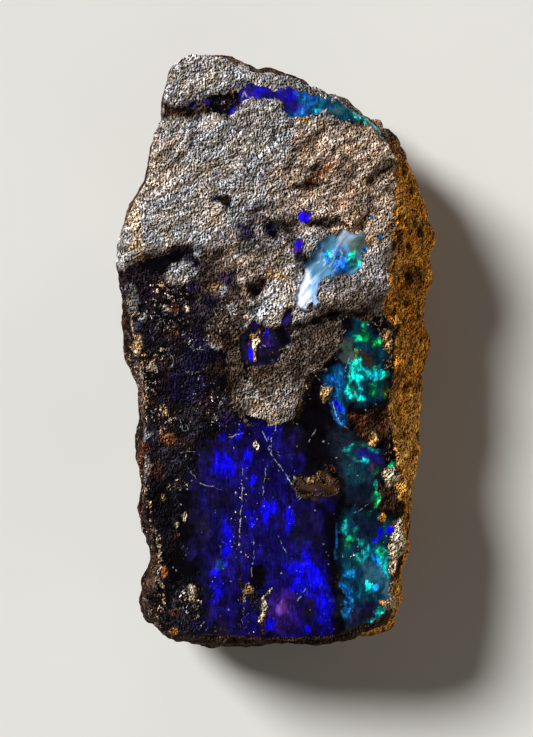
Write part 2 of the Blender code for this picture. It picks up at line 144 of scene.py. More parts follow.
# Broken faces that cut the edges off: the way each one faces, then a point that it goes through.
CHIPS = (
    ((-0.80, 0.10, -0.60), (-10.2, 2.0, 1.4)),
    ((-0.74, -0.05, -0.67), (-9.6, -9.0, 1.2)),
    ((-0.72, 0.25, -0.65), (-9.3, 11.5, 1.5)),
    ((-0.60, -0.45, -0.66), (-8.4, -18.2, 1.2)),
    ((0.05, -0.85, -0.52), (2.0, -20.6, 1.1)),
    ((0.66, -0.40, -0.64), (6.9, -19.0, 1.2)),
    ((0.75, 0.10, -0.65), (9.1, -6.0, 1.3)),
    ((0.80, -0.10, -0.60), (9.6, 4.0, 1.6)),
    ((0.60, 0.50, -0.62), (8.3, 12.0, 1.4)),
    ((0.20, 0.78, -0.60), (1.0, 18.3, 1.4)),
    ((-0.25, 0.75, -0.61), (-6.5, 19.8, 1.5)),
    ((-0.78, 0.06, 0.62), (-11.9, 9.5, 12.4)),
    ((-0.60, -0.20, 0.77), (-10.3, -16.0, 11.6)),
    ((0.62, 0.52, 0.58), (8.1, 16.1, 12.2)),
    ((0.52, -0.50, 0.69), (7.6, -20.6, 11.0)),
    ((-0.66, 0.44, 0.60), (-8.4, 20.6, 12.8)),
)
CHIP_ROUNDING = 0.5

# Rough walls: beds of sandstone that run along the stone, lumps, and the hollowed underside.
BED_THICKNESS = 1.5
BED_DEPTH = 0.34
WALL_LUMP_SIZE = 5.2
WALL_LUMP_HEIGHT = 0.60
WALL_KNOB_SIZE = 2.3
WALL_KNOB_HEIGHT = 0.34
WALL_SETBACK = 0.20
PROUD_SHARE = 0.25
TOP_LUMP_SIZE = 1.7
TOP_LUMP_HEIGHT = 0.16
REST_PATCH = (5.5, 12.5)
UNDERSIDE_HOLLOW = 0.8
LONGEST_MOVE = 1.2


# ---------------------------------------------------------------- colours, as they look on screen
def screen(red, green, blue):
    """A colour given as it looks on screen, from 0 to 255, as linear light."""
    share = np.array((red, green, blue)) / 255.0
    return np.where(share <= 0.04045, share / 12.92, ((share + 0.055) / 1.055) ** 2.4)


BLACK = screen(0, 0, 0)

# Sandstone finishes: colour, how much of the surface the sand covers, how far it rises.
SANDS = {
    "grey sand": (screen(170, 170, 173), 1.0, 0.0),
    "brown sand": (screen(184, 163, 144), 1.0, 0.0),
    # Pale sand laid as painted highlight on lit slopes, ledge lips and small glints.
    "bright sand": (screen(192, 194, 200), 1.0, 0.02),
    # Dark sand, also laid as painted shade in the crust's grooves and under its ledges.
    "dark sand": (screen(78, 66, 56), 0.95, -0.02),
    "dusky sand": (screen(114, 102, 94), 1.0, 0.0),
    "violet sand": (screen(84, 72, 92), 0.9, 0.0),
    # Near-black sand laid as painted shade in crevices, creases, pits and under ledges.
    "crevice": (screen(30, 22, 18), 0.95, -0.06),
    "stain": (screen(176, 104, 46), 1.0, 0.0),
    # Dark sand laid as painted shade on slopes that face away from the light.
    "dark slope": (screen(77, 66, 61), 0.66, 0.0),
    "tan": (screen(206, 168, 112), 0.8, 0.05),
    "cream": (screen(236, 224, 196), 0.9, 0.05),
    "rust": (screen(116, 68, 42), 0.6, 0.02),
    "ochre": (screen(218, 150, 56), 1.0, 0.0),
    # Golden sand laid as painted sunlight on the ochre wall's upper end.
    "gold sand": (screen(255, 194, 104), 1.0, 0.0),
    "ironstone": (screen(60, 42, 34), 1.0, 0.0),
    "crumbs": (screen(66, 50, 40), 0.8, 0.0),
    "slate": (screen(42, 41, 53), 0.8, 0.0),
    "plum": (screen(33, 26, 35), 0.85, 0.0),
    "umber": (screen(50, 34, 25), 0.85, 0.0),
    "soot": (screen(17, 15, 21), 0.95, 0.0),
    "violet crumbs": (screen(42, 28, 92), 0.7, 0.0),
    "indigo crumbs": (screen(29, 24, 54), 0.75, 0.0),
}

# Flecks of sand that lie on sand and opal alike: colour, how much of the surface they cover.
FLECKS = {
    "brown specks": (screen(140, 102, 68), 0.34),
    "few specks": (screen(150, 116, 84), 0.2),
    "tan specks": (screen(192, 162, 124), 0.38),
    # Pale specks: partly pale grains and dust, partly painted glints on the dark opal.
    "pale specks": (screen(230, 224, 216), 0.26),
}

# Opal finishes: colour of the dark body, colour of the fire in it.
OPALS = {
    "potch": (screen(8, 6, 11), BLACK),
    "mist": (screen(27, 34, 47), BLACK),
    "resin": (screen(62, 43, 24), BLACK),
    # Haze, ice and milk: pale milky opal; on the glossy ramp and in small spots also painted reflection and
    # glare.
    "haze": (screen(80, 136, 172), BLACK),
    "ice": (screen(140, 184, 244), BLACK),
    "milk": (screen(214, 222, 242), BLACK),
    "moss": (screen(84, 104, 98), BLACK),
    "navy": (screen(12, 10, 24), screen(12, 10, 48)),
    "deep blue": (screen(9, 6, 32), screen(14, 8, 90)),
    "blue": (screen(6, 4, 38), screen(8, 2, 246)),
    "sapphire": (screen(16, 14, 58), screen(24, 16, 140)),
    "azure": (screen(10, 40, 70), screen(6, 130, 225)),
    "violet": (screen(16, 10, 28), screen(48, 20, 128)),
    "indigo": (screen(15, 12, 22), screen(18, 14, 40)),
    "pink": (screen(60, 40, 60), screen(140, 80, 190)),
    "teal": (screen(8, 24, 34), screen(4, 62, 84)),
    "cyan": (screen(10, 50, 56), screen(4, 226, 216)),
    "emerald": (screen(8, 46, 30), screen(10, 200, 110)),
    "lime": (screen(40, 46, 18), screen(96, 140, 26)),
}

# Where the finishes lie on the upper face, in the photograph's pixels and in painting order.
PIXELS_PER_MM = 13.22
PIXEL_OF_MIDDLE = (275.8, 351.2)

# Where the ochre wall begins to the right of the upper face.
OCHRE_EDGE = (
    (398, 157), (391, 172), (389, 185), (388, 200), (390, 230), (386, 250), (383, 260), (378, 280),
    (376, 300), (377, 310), (385, 320), (392, 330), (392, 360), (388, 400), (390, 440), (393, 480),
    (396, 500), (401, 515), (402, 560), (398, 600), (395, 625), (390, 640),
)

# Areas: finish, strength, softness of the edge, corners.
AREAS = (
    # the sandy crust, browner on the right
    ("brown sand", 0.85, 9, ((292, 125), (340, 120), (400, 135), (400, 260), (340, 240), (290, 225),
        (284, 180))),
    ("brown sand", 0.7, 5, ((200, 240), (245, 245), (290, 262), (290, 330), (243, 328), (205, 285))),
    ("dusky sand", 0.85, 7, ((300, 316), (330, 298), (345, 282), (381, 278), (381, 320), (350, 316))),
    ("dusky sand", 0.6, 8, ((205, 235), (300, 225), (292, 270), (250, 290), (205, 290))),
    ("violet sand", 0.7, 5, ((238, 206), (258, 202), (264, 214), (256, 224), (252, 242), (236, 240))),
    ("violet sand", 0.6, 5, ((278, 222), (296, 226), (292, 240), (282, 244))),
    # the vein across the sandy end
    ("umber", 1.0, 3, ((154, 110), (163, 104), (176, 106), (190, 100), (206, 100), (210, 112), (196, 120),
        (184, 122), (168, 122), (155, 124))),
    ("brown specks", 0.7, 3, ((163, 104), (188, 100), (192, 120), (164, 122))),
    ("potch", 1.0, 2, ((203, 103), (209, 96), (215, 95), (220, 97), (224, 91), (231, 94), (237, 92),
        (236, 104), (226, 118), (222, 119), (219, 114), (208, 114))),
    ("sapphire", 1.0, 2, ((236, 93), (241, 86), (250, 85), (262, 88), (270, 91), (277, 91), (280, 87),
        (290, 90), (300, 94), (318, 100), (322, 108), (308, 116), (297, 117), (290, 121), (286, 118),
        (281, 108), (279, 102), (268, 100), (258, 101), (247, 97), (241, 100), (236, 107), (230, 115),
        (224, 118), (232, 104))),
    ("azure", 0.5, 5, ((296, 96), (318, 100), (330, 108), (318, 118), (298, 117))),
    ("teal", 1.0, 6, ((310, 98), (320, 99), (332, 101), (345, 108), (353, 112), (355, 121), (342, 122),
        (332, 121), (325, 116), (313, 114), (300, 116), (304, 106))),
    ("cyan", 1.0, 2, ((347, 111), (360, 115), (371, 121), (384, 135), (376, 131), (365, 126), (349, 120))),
    # the dark left side
    # Black potch under the crust's lower edge, partly painted shadow of the ledge.
    ("potch", 0.8, 3, ((133, 262), (140, 256), (158, 253), (172, 248), (181, 248), (180, 262), (162, 268),
        (150, 276), (140, 270))),
    ("plum", 0.9, 4, ((120, 270), (132, 264), (142, 272), (140, 300), (122, 302))),
    ("grey sand", 0.8, 4, ((160, 277), (166, 270), (178, 264), (190, 262), (197, 268), (194, 276),
        (186, 281), (176, 285), (166, 283))),
    # Painted shade on the slopes left of the tongue, which face away from the light.
    ("dark slope", 0.9, 9, ((190, 250), (214, 252), (228, 280), (222, 320), (206, 330), (196, 300))),
    ("dusky sand", 0.6, 5, ((203, 306), (240, 300), (240, 340), (226, 352), (206, 338))),
    ("dark slope", 1.0, 5, ((204, 300), (212, 282), (222, 268), (234, 268), (240, 290), (243, 330),
        (240, 352), (238, 376), (224, 380), (219, 350), (204, 344), (202, 318))),
    ("violet crumbs", 0.6, 4, ((202, 299), (215, 298), (214, 308), (205, 312))),
    ("plum", 0.9, 4, ((141, 322), (160, 320), (162, 346), (148, 352), (141, 340))),
    ("indigo crumbs", 0.9, 5, ((181, 332), (197, 330), (204, 350), (219, 352), (218, 364), (203, 366),
        (200, 400), (164, 402), (166, 376), (182, 362))),
    ("umber", 0.6, 4, ((203, 364), (220, 363), (222, 374), (205, 377))),
    ("slate", 0.9, 2, ((125, 324), (138, 322), (141, 333), (128, 337))),
    ("slate", 0.8, 3, ((140, 424), (150, 418), (155, 426), (154, 440), (146, 442), (140, 436))),
    ("slate", 0.6, 5, ((150, 442), (180, 440), (182, 470), (160, 480), (150, 465))),
    ("slate", 0.6, 4, ((180, 412), (200, 410), (204, 438), (184, 440))),
    ("soot", 0.95, 4, ((172, 576), (198, 572), (208, 592), (202, 612), (188, 624), (172, 622))),
    ("tan specks", 1.0, 3, ((180, 582), (196, 578), (201, 590), (198, 604), (188, 618), (178, 622),
        (174, 606))),
    ("slate", 0.7, 4, ((190, 606), (214, 604), (228, 640), (165, 640), (160, 612))),
    ("slate", 0.8, 2, ((178, 544), (188, 542), (192, 552), (189, 560), (179, 559))),
    # the middle: a lit slope in painted highlight, a glossy ramp of milky opal with painted reflection and
    # glare, and a violet hollow
    ("grey sand", 0.9, 6, ((262, 287), (272, 279), (284, 281), (286, 300), (281, 321), (262, 327),
        (244, 322), (247, 309), (256, 298))),
    ("bright sand", 0.8, 4, ((272, 286), (281, 284), (280, 300), (270, 312), (262, 324), (250, 322),
        (256, 306))),
    ("haze", 1.0, 4, ((317, 245), (324, 237), (333, 239), (346, 230), (361, 237), (360, 256), (358, 268),
        (345, 276), (332, 274), (326, 281), (314, 288), (312, 304), (300, 311), (294, 306), (295, 291),
        (301, 280), (303, 265), (310, 255))),
    ("moss", 1.0, 2, ((343, 244), (348, 235), (358, 235), (361, 242), (359, 252), (352, 257), (343, 255))),
    ("azure", 0.9, 4, ((318, 246), (326, 255), (334, 247), (342, 250), (342, 261), (346, 268), (345, 275),
        (332, 275), (325, 270), (320, 262))),
    ("cyan", 0.8, 2, ((343, 254), (352, 254), (358, 264), (352, 269), (344, 263))),
    ("milk", 0.35, 4, ((334, 240), (341, 231), (347, 230), (348, 238), (340, 246))),
    ("milk", 1.0, 2.5, ((302, 272), (307, 277), (306, 285), (311, 290), (312, 302), (308, 308), (300, 311),
        (294, 306), (295, 292), (299, 280))),
    ("ice", 0.8, 2, ((308, 280), (318, 282), (314, 292), (312, 304), (307, 306))),
    ("violet", 1.0, 2, ((293, 212), (300, 210), (306, 212), (311, 221), (308, 227), (300, 224),
        (296, 219))),
    ("violet", 0.9, 2, ((289, 242), (296, 238), (302, 244), (299, 250), (302, 262), (291, 262),
        (289, 252))),
    # Black potch in the pit, partly painted shade.
    ("potch", 1.0, 3, ((244, 282), (260, 279), (263, 286), (256, 297), (246, 300), (241, 290))),
    ("indigo", 1.0, 2, ((240, 336), (250, 322), (262, 326), (275, 326), (281, 318), (283, 309), (290, 312),
        (289, 326), (286, 346), (278, 350), (274, 366), (262, 368), (240, 366))),
    # the tongue's brown fringe and the black basin beside it
    ("dark sand", 0.9, 4, ((222, 344), (236, 350), (240, 368), (262, 369), (284, 352), (292, 332),
        (306, 330), (306, 352), (292, 372), (264, 376), (246, 380), (240, 396), (240, 418), (230, 414),
        (224, 392), (226, 366))),
    ("dark sand", 0.8, 4, ((300, 330), (318, 322), (340, 318), (341, 344), (330, 352), (316, 366),
        (306, 372))),
    ("dark sand", 0.7, 3, ((238, 412), (246, 424), (262, 428), (256, 432), (242, 428), (234, 418))),
    ("potch", 1.0, 2, ((302, 378), (310, 374), (318, 386), (328, 398), (332, 412), (336, 424), (330, 440),
        (326, 470), (316, 480), (300, 480), (290, 470), (286, 440), (290, 424), (298, 400))),
    ("potch", 0.7, 7, ((284, 428), (300, 424), (300, 478), (292, 470), (284, 450))),
    ("indigo", 0.5, 4, ((278, 428), (296, 424), (300, 440), (296, 462), (290, 470), (280, 456))),
    ("resin", 1.0, 1.5, ((290, 484), (300, 480), (312, 482), (316, 474), (322, 470), (330, 480), (337, 488),
        (336, 498), (326, 497), (318, 504), (312, 500), (306, 497), (296, 498), (290, 493))),
    # the blue field
    ("indigo", 0.8, 10, ((196, 440), (240, 436), (240, 640), (188, 640), (196, 560), (186, 500))),
    ("deep blue", 0.9, 16, ((210, 446), (228, 430), (240, 442), (258, 432), (276, 428), (284, 460),
        (290, 484), (292, 500), (326, 512), (322, 560), (328, 570), (328, 634), (262, 636), (236, 636),
        (222, 628), (204, 620), (202, 560), (206, 510), (196, 480))),
    ("blue", 0.9, 4, ((213, 452), (222, 452), (232, 462), (232, 476), (220, 480), (212, 472))),
    ("blue", 0.9, 3, ((221, 520), (228, 530), (228, 552), (222, 568), (218, 556))),
    ("blue", 0.8, 6, ((283, 566), (300, 562), (318, 565), (323, 580), (328, 592), (329, 616), (326, 632),
        (318, 632), (313, 604), (300, 598), (290, 590))),
    ("violet", 0.8, 4, ((268, 592), (284, 590), (292, 600), (292, 626), (280, 634), (262, 630))),
    ("potch", 1.0, 2, ((246, 568), (260, 566), (264, 582), (254, 592), (246, 584))),
    ("slate", 0.8, 2, ((245, 586), (256, 590), (264, 588), (260, 620), (246, 612))),
    ("potch", 0.9, 4, ((318, 498), (336, 496), (340, 520), (340, 640), (330, 640), (328, 570), (318, 540))),
    # the green side
    ("potch", 0.9, 4, ((342, 326), (352, 316), (372, 318), (382, 345), (386, 380), (388, 396), (384, 410),
        (344, 412), (340, 404), (322, 388), (316, 376), (328, 370), (340, 366), (343, 345))),
    ("teal", 0.75, 4, ((345, 334), (352, 322), (362, 314), (368, 330), (378, 340), (383, 362), (384, 380),
        (387, 396), (372, 404), (350, 406), (340, 404), (322, 388), (316, 376), (328, 370), (343, 372),
        (346, 352))),
    ("azure", 0.3, 4, ((320, 372), (340, 368), (343, 392), (334, 396), (322, 388))),
    ("moss", 0.6, 3, ((336, 346), (347, 342), (350, 354), (342, 362), (336, 358))),
    ("resin", 0.8, 3, ((356, 350), (362, 346), (368, 356), (372, 366), (362, 366))),
    ("cyan", 1.0, 2, ((344, 378), (347, 364), (357, 358), (361, 368), (368, 372), (372, 366), (379, 366),
        (383, 375), (380, 381), (366, 380), (352, 383))),
    ("cyan", 0.9, 2, ((345, 380), (352, 382), (358, 390), (362, 402), (350, 402), (343, 396))),
    ("emerald", 0.9, 1.5, ((366, 385), (371, 384), (375, 394), (371, 398), (367, 394))),
    ("lime", 0.8, 1.5, ((378, 386), (382, 386), (388, 396), (383, 399), (379, 394))),
    ("azure", 1.0, 2, ((330, 396), (336, 400), (344, 416), (345, 424), (340, 426), (334, 418), (331, 408))),
    ("blue", 1.0, 2, ((332, 400), (337, 403), (340, 412), (335, 415))),
    ("umber", 1.0, 3, ((344, 412), (360, 412), (385, 400), (388, 440), (365, 442), (348, 436))),
    ("mist", 0.8, 5, ((326, 430), (345, 428), (360, 440), (382, 452), (380, 480), (372, 506), (345, 506),
        (338, 480), (328, 450))),
    ("teal", 0.5, 5, ((340, 446), (352, 444), (360, 458), (372, 470), (366, 500), (344, 498), (342, 470))),
    ("sapphire", 0.8, 3, ((354, 452), (368, 448), (380, 454), (378, 468), (366, 462), (356, 462))),
    ("ironstone", 0.8, 4, ((372, 488), (392, 484), (400, 500), (396, 516), (376, 514), (366, 506))),
    ("potch", 0.7, 3, ((335, 500), (372, 508), (388, 524), (390, 600), (382, 630), (337, 634))),
    ("teal", 0.75, 5, ((337, 516), (352, 508), (372, 514), (388, 524), (386, 545), (390, 562), (388, 600),
        (382, 626), (345, 634), (340, 600), (338, 550))),
    ("teal", 1.0, 2, ((340, 520), (346, 516), (350, 530), (347, 546), (341, 540))),
    ("teal", 1.0, 3, ((350, 562), (366, 545), (386, 547), (388, 572), (376, 580), (360, 572))),
    ("cyan", 0.95, 1.5, ((352, 560), (358, 550), (366, 546), (364, 556), (357, 565))),
    ("navy", 0.75, 3, ((349, 514), (372, 516), (381, 528), (374, 541), (352, 535))),
    ("navy", 0.85, 3, ((346, 601), (362, 603), (376, 607), (373, 619), (352, 624), (344, 613))),
    ("azure", 0.5, 3, ((341, 574), (349, 570), (352, 600), (347, 620), (341, 610))),
    ("cyan", 1.0, 1.5, ((372, 548), (383, 549), (387, 558), (387, 567), (384, 571), (377, 570),
        (374, 560))),
    ("haze", 0.3, 5, ((358, 564), (372, 562), (388, 572), (388, 592), (372, 588), (362, 580))),
    ("mist", 0.8, 4, ((345, 622), (364, 626), (386, 620), (384, 634), (350, 640))),
    ("cream", 0.9, 2, ((402, 514), (396, 520), (389, 530), (384, 546), (387, 555), (394, 558), (402, 548))),
)

# Spots: finish, strength, middle x and y, half width, half height.
SPOTS = (
    # the vein across the sandy end
    ("rust", 0.8, 226, 95, 4, 4), ("plum", 0.7, 219, 106, 9, 8), ("pale specks", 1.0, 219, 105, 8, 8),
    ("blue", 0.5, 258, 93, 6, 4), ("violet", 0.6, 246, 92, 6, 4), ("blue", 0.4, 228, 113, 3, 4),
    ("soot", 0.7, 178, 112, 12, 4), ("violet crumbs", 0.8, 190, 107, 6, 5), ("plum", 0.6, 232, 104, 4, 7),
    ("rust", 0.7, 222, 100, 2, 2), ("blue", 0.5, 287, 97, 5, 4), ("azure", 0.5, 290, 117, 5, 4),
    ("moss", 0.4, 330, 112, 8, 4), ("cyan", 0.5, 309, 113, 6, 2), ("tan", 0.8, 302, 121, 5, 4),
    ("violet", 0.6, 203, 105, 3, 3), ("dark sand", 0.8, 196, 110, 4, 6),
    # the sandy crust, with dark spots as painted shade in its grooves and under its ledges
    ("rust", 0.5, 187, 142, 4, 9), ("tan", 0.4, 205, 165, 6, 6), ("brown sand", 0.7, 143, 178, 4, 16),
    ("tan", 0.6, 134, 226, 6, 26), ("rust", 0.5, 322, 165, 7, 6), ("slate", 1.0, 214, 200, 6, 4),
    ("crevice", 1.0, 223, 203, 8, 6), ("dark sand", 0.8, 300, 187, 12, 4),
    ("dark sand", 0.8, 318, 170, 13, 5), ("rust", 0.5, 385, 172, 12, 4),
    ("dark sand", 0.7, 262, 209, 13, 3), ("dark sand", 0.8, 322, 223, 14, 4),
    ("dark sand", 0.8, 285, 225, 6, 11), ("tan", 0.7, 350, 226, 12, 4), ("tan", 0.7, 367, 238, 6, 6),
    ("dark sand", 0.6, 250, 252, 12, 5), ("rust", 0.4, 345, 200, 6, 12),
    # glossy blebs in the crust
    ("plum", 0.9, 268, 228, 9, 9), ("pale specks", 1.0, 266, 220, 7, 4),
    ("violet crumbs", 0.6, 266, 229, 6, 5), ("plum", 0.8, 243, 232, 8, 9),
    ("violet crumbs", 0.5, 242, 231, 5, 5), ("potch", 0.8, 268, 233, 5, 3), ("blue", 0.8, 301, 219, 5, 4),
    ("blue", 0.9, 293, 246, 3, 3), ("plum", 0.8, 296, 258, 5, 6), ("azure", 0.9, 367, 218, 2, 3),
    ("azure", 0.9, 374, 237, 3, 2), ("azure", 0.8, 361, 250, 2, 3), ("azure", 0.7, 318, 248, 2, 5),
    # The pale sand spot at 325, 289 is a painted highlight; the black potch at 302, 311 is painted shade
    # below the glare.
    ("cyan", 0.6, 326, 254, 2, 4), ("azure", 0.7, 333, 266, 4, 4), ("bright sand", 0.8, 325, 289, 5, 3),
    ("tan", 0.7, 272, 276, 9, 4), ("potch", 0.8, 302, 311, 6, 2), ("violet", 0.8, 283, 320, 3, 8),
    ("blue", 0.9, 264, 334, 2, 8), ("blue", 0.9, 247, 353, 3, 5), ("tan", 1.0, 252, 338, 5, 8),
    ("cream", 0.7, 251, 344, 3, 8), ("tan", 0.9, 252, 356, 2, 6), ("violet", 0.9, 266, 342, 4, 7),
    ("umber", 0.8, 266, 348, 5, 2), ("potch", 0.9, 280, 338, 5, 8), ("slate", 0.7, 243, 365, 3, 3),
    ("dark sand", 0.8, 252, 369, 9, 3), ("dark sand", 0.8, 268, 367, 8, 3), ("violet", 0.6, 250, 328, 4, 5),
    ("plum", 0.7, 244, 342, 3, 10), ("pale specks", 0.8, 272, 360, 10, 6),
    # the dark left side, with pale spots as painted glints and dark slope spots as painted shade
    ("plum", 0.8, 190, 253, 9, 3), ("bright sand", 0.9, 195, 255, 3, 3), ("indigo", 0.6, 194, 260, 4, 4),
    ("tan specks", 0.8, 162, 287, 10, 6), ("violet crumbs", 0.6, 192, 288, 6, 5),
    ("tan", 0.7, 212, 288, 6, 3), ("bright sand", 0.8, 219, 292, 2, 4), ("cream", 0.7, 163, 309, 2, 3),
    ("cream", 0.7, 184, 308, 2, 2), ("rust", 0.4, 170, 308, 4, 7), ("pale specks", 0.8, 150, 300, 14, 14),
    ("pale specks", 0.7, 176, 296, 10, 8), ("tan specks", 0.8, 132, 312, 9, 9),
    ("grey sand", 0.7, 140, 318, 4, 3), ("pale specks", 0.8, 160, 322, 10, 8), ("tan", 0.5, 134, 344, 5, 8),
    ("cream", 0.6, 132, 353, 4, 4), ("cream", 0.5, 147, 366, 4, 4), ("grey sand", 0.4, 128, 300, 5, 14),
    ("tan specks", 1.0, 126, 330, 6, 30), ("tan specks", 1.0, 136, 400, 6, 40),
    ("grey sand", 0.4, 133, 372, 4, 12), ("grey sand", 0.4, 140, 436, 4, 12),
    ("grey sand", 0.4, 142, 470, 4, 14), ("tan specks", 0.9, 137, 374, 6, 9),
    ("tan specks", 0.6, 149, 388, 7, 12), ("tan specks", 0.7, 160, 358, 12, 8),
    ("pale specks", 0.9, 192, 342, 16, 10), ("grey sand", 0.7, 213, 347, 5, 2),
    ("pale specks", 0.9, 190, 380, 14, 14), ("brown specks", 1.0, 212, 330, 8, 16),
    ("pale specks", 0.9, 225, 400, 12, 16), ("tan specks", 0.6, 205, 398, 8, 6),
    ("tan specks", 1.0, 160, 420, 9, 13), ("stain", 0.3, 165, 441, 8, 6),
    ("brown specks", 0.8, 146, 384, 7, 18), ("soot", 0.7, 157, 396, 5, 12), ("umber", 0.7, 146, 402, 5, 7),
    ("pale specks", 0.6, 148, 376, 10, 14), ("tan specks", 0.9, 135, 347, 6, 10),
    ("tan specks", 0.9, 146, 360, 6, 7), ("slate", 0.8, 219, 256, 9, 4),
    ("violet crumbs", 0.6, 224, 280, 7, 6), ("milk", 0.5, 221, 290, 2, 6), ("milk", 0.4, 196, 254, 2, 4),
    ("dark slope", 0.8, 224, 312, 12, 22), ("brown specks", 0.5, 222, 320, 12, 22),
    ("plum", 0.5, 206, 276, 8, 12), ("pale specks", 0.7, 216, 316, 14, 20), ("slate", 0.8, 200, 316, 6, 10),
    ("soot", 0.7, 208, 300, 7, 6), ("soot", 0.7, 226, 338, 6, 6), ("grey sand", 0.5, 229, 312, 3, 8),
    ("cream", 0.9, 211, 418, 3, 3), ("pale specks", 1.0, 232, 428, 6, 10),
    ("tan specks", 0.7, 138, 402, 5, 14), ("rust", 0.7, 140, 447, 5, 8), ("rust", 0.35, 150, 470, 9, 9),
    ("tan specks", 0.8, 170, 486, 14, 7), ("tan", 0.5, 160, 499, 3, 4),
    ("tan specks", 0.8, 138, 492, 4, 14), ("cream", 0.9, 182, 518, 2, 4), ("cream", 0.6, 175, 525, 2, 3),
    ("rust", 0.5, 180, 539, 6, 3), ("stain", 0.6, 160, 574, 3, 5), ("cream", 0.5, 190, 594, 3, 10),
    ("rust", 0.6, 172, 615, 5, 6), ("slate", 0.9, 184, 624, 16, 10), ("slate", 0.7, 172, 600, 6, 8),
    ("pale specks", 0.9, 184, 608, 14, 16), ("tan specks", 0.8, 190, 606, 8, 16),
    ("violet crumbs", 0.6, 196, 626, 8, 6), ("pale specks", 0.7, 182, 628, 16, 6),
    ("ochre", 0.5, 169, 634, 4, 5), ("rust", 0.7, 217, 634, 7, 6), ("brown specks", 0.8, 200, 641, 24, 3),
    ("brown specks", 0.9, 148, 530, 6, 14), ("tan specks", 0.9, 150, 560, 6, 14),
    ("brown specks", 0.9, 148, 598, 8, 24),
    # between the dark left side and the blue field
    ("plum", 0.9, 218, 416, 12, 16), ("umber", 0.7, 226, 378, 6, 14),
    ("violet crumbs", 0.6, 222, 424, 8, 9), ("soot", 0.8, 208, 430, 9, 10),
    ("pale specks", 0.7, 218, 414, 12, 14), ("blue", 0.5, 236, 434, 3, 5), ("blue", 0.4, 221, 434, 4, 4),
    ("potch", 0.6, 264, 359, 8, 5), ("pale specks", 0.7, 258, 358, 14, 6), ("blue", 0.4, 267, 432, 6, 5),
    # the blue field
    ("blue", 0.9, 248, 484, 4, 7), ("blue", 0.9, 246, 521, 4, 6), ("blue", 0.9, 261, 514, 5, 12),
    ("blue", 0.7, 273, 508, 4, 8), ("blue", 0.7, 286, 520, 4, 10), ("blue", 0.7, 304, 552, 5, 12),
    ("blue", 0.6, 244, 460, 4, 10), ("navy", 0.9, 305, 530, 14, 22), ("indigo", 0.7, 220, 500, 12, 10),
    ("blue", 0.7, 214, 586, 7, 12), ("azure", 0.25, 218, 566, 5, 5), ("pale specks", 1.0, 233, 522, 6, 12),
    ("pale specks", 1.0, 228, 545, 8, 8), ("pale specks", 0.9, 246, 552, 7, 9),
    ("cream", 0.8, 252, 447, 3, 6), ("slate", 0.9, 244, 594, 6, 12), ("tan", 0.7, 245, 588, 3, 6),
    ("umber", 0.7, 260, 625, 4, 12), ("pale specks", 0.8, 236, 500, 5, 24),
    ("pale specks", 0.6, 250, 500, 14, 30), ("pale specks", 0.6, 240, 600, 10, 30),
    ("blue", 0.9, 304, 629, 3, 5), ("blue", 0.9, 266, 626, 5, 6), ("indigo", 0.9, 306, 611, 6, 11),
    ("pink", 0.35, 279, 608, 6, 10), ("rust", 0.5, 250, 636, 12, 5), ("pale specks", 0.6, 245, 625, 10, 10),
    ("pale specks", 0.5, 285, 540, 10, 14), ("deep blue", 0.8, 296, 466, 7, 10),
    ("mist", 0.6, 334, 606, 4, 16), ("rust", 0.7, 335, 578, 4, 9), ("rust", 0.6, 329, 466, 3, 12),
    ("tan", 0.7, 309, 482, 3, 3), ("tan", 0.7, 315, 477, 2, 4), ("deep blue", 0.6, 326, 506, 6, 8),
    ("tan", 0.9, 324, 396, 5, 7), ("tan specks", 0.8, 303, 388, 5, 12),
    # the green side
    ("cyan", 1.0, 355, 338, 4, 3), ("emerald", 0.9, 361, 336, 5, 4), ("emerald", 0.9, 372, 344, 4, 4),
    ("emerald", 0.4, 362, 320, 2, 7), ("cyan", 0.7, 346, 384, 3, 2), ("azure", 0.5, 330, 380, 6, 4),
    ("lime", 0.8, 352, 354, 3, 5), ("dark sand", 0.8, 366, 316, 8, 5), ("tan specks", 0.8, 374, 326, 8, 8),
    ("navy", 0.9, 350, 388, 4, 5), ("azure", 0.8, 328, 378, 3, 4), ("azure", 0.9, 386, 394, 2, 3),
    ("rust", 0.7, 354, 420, 8, 5), ("tan", 0.8, 370, 440, 5, 6), ("cyan", 0.9, 361, 462, 6, 3),
    ("emerald", 1.0, 372, 473, 2, 4), ("cyan", 0.8, 373, 485, 2, 3), ("emerald", 0.7, 372, 498, 3, 6),
    ("navy", 0.7, 354, 494, 13, 9), ("pink", 0.3, 367, 472, 2, 6), ("cream", 0.9, 387, 477, 6, 7),
    ("emerald", 0.6, 389, 468, 4, 3), ("ochre", 0.8, 379, 519, 3, 5), ("cyan", 0.9, 343, 530, 3, 8),
    ("cyan", 0.7, 353, 532, 2, 4), ("emerald", 0.4, 344, 545, 5, 6), ("blue", 1.0, 378, 534, 3, 4),
    ("blue", 1.0, 385, 531, 3, 4), ("blue", 0.9, 372, 540, 2, 2), ("azure", 0.6, 372, 560, 5, 8),
    ("emerald", 0.8, 381, 553, 3, 3), ("cyan", 0.8, 358, 542, 3, 3), ("cyan", 0.9, 367, 590, 3, 5),
    ("azure", 0.9, 375, 589, 3, 4), ("azure", 0.9, 341, 588, 2, 10), ("azure", 0.8, 347, 595, 2, 3),
    ("azure", 0.8, 356, 598, 3, 3), ("azure", 0.7, 344, 613, 5, 5), ("cyan", 0.9, 375, 616, 3, 6),
    ("indigo", 0.5, 366, 606, 5, 5), ("indigo", 0.7, 355, 618, 10, 5), ("pale specks", 0.9, 381, 585, 6, 6),
    ("pale specks", 0.7, 350, 560, 8, 20),
    # the right rim
    ("tan", 0.8, 384, 342, 5, 10), ("tan specks", 1.0, 387, 362, 5, 10),
    ("dark sand", 0.8, 386, 410, 5, 20), ("rust", 0.7, 382, 420, 5, 14),
    ("tan specks", 0.9, 386, 450, 4, 12), ("tan", 0.9, 391, 590, 5, 9), ("cream", 0.8, 391, 604, 4, 7),
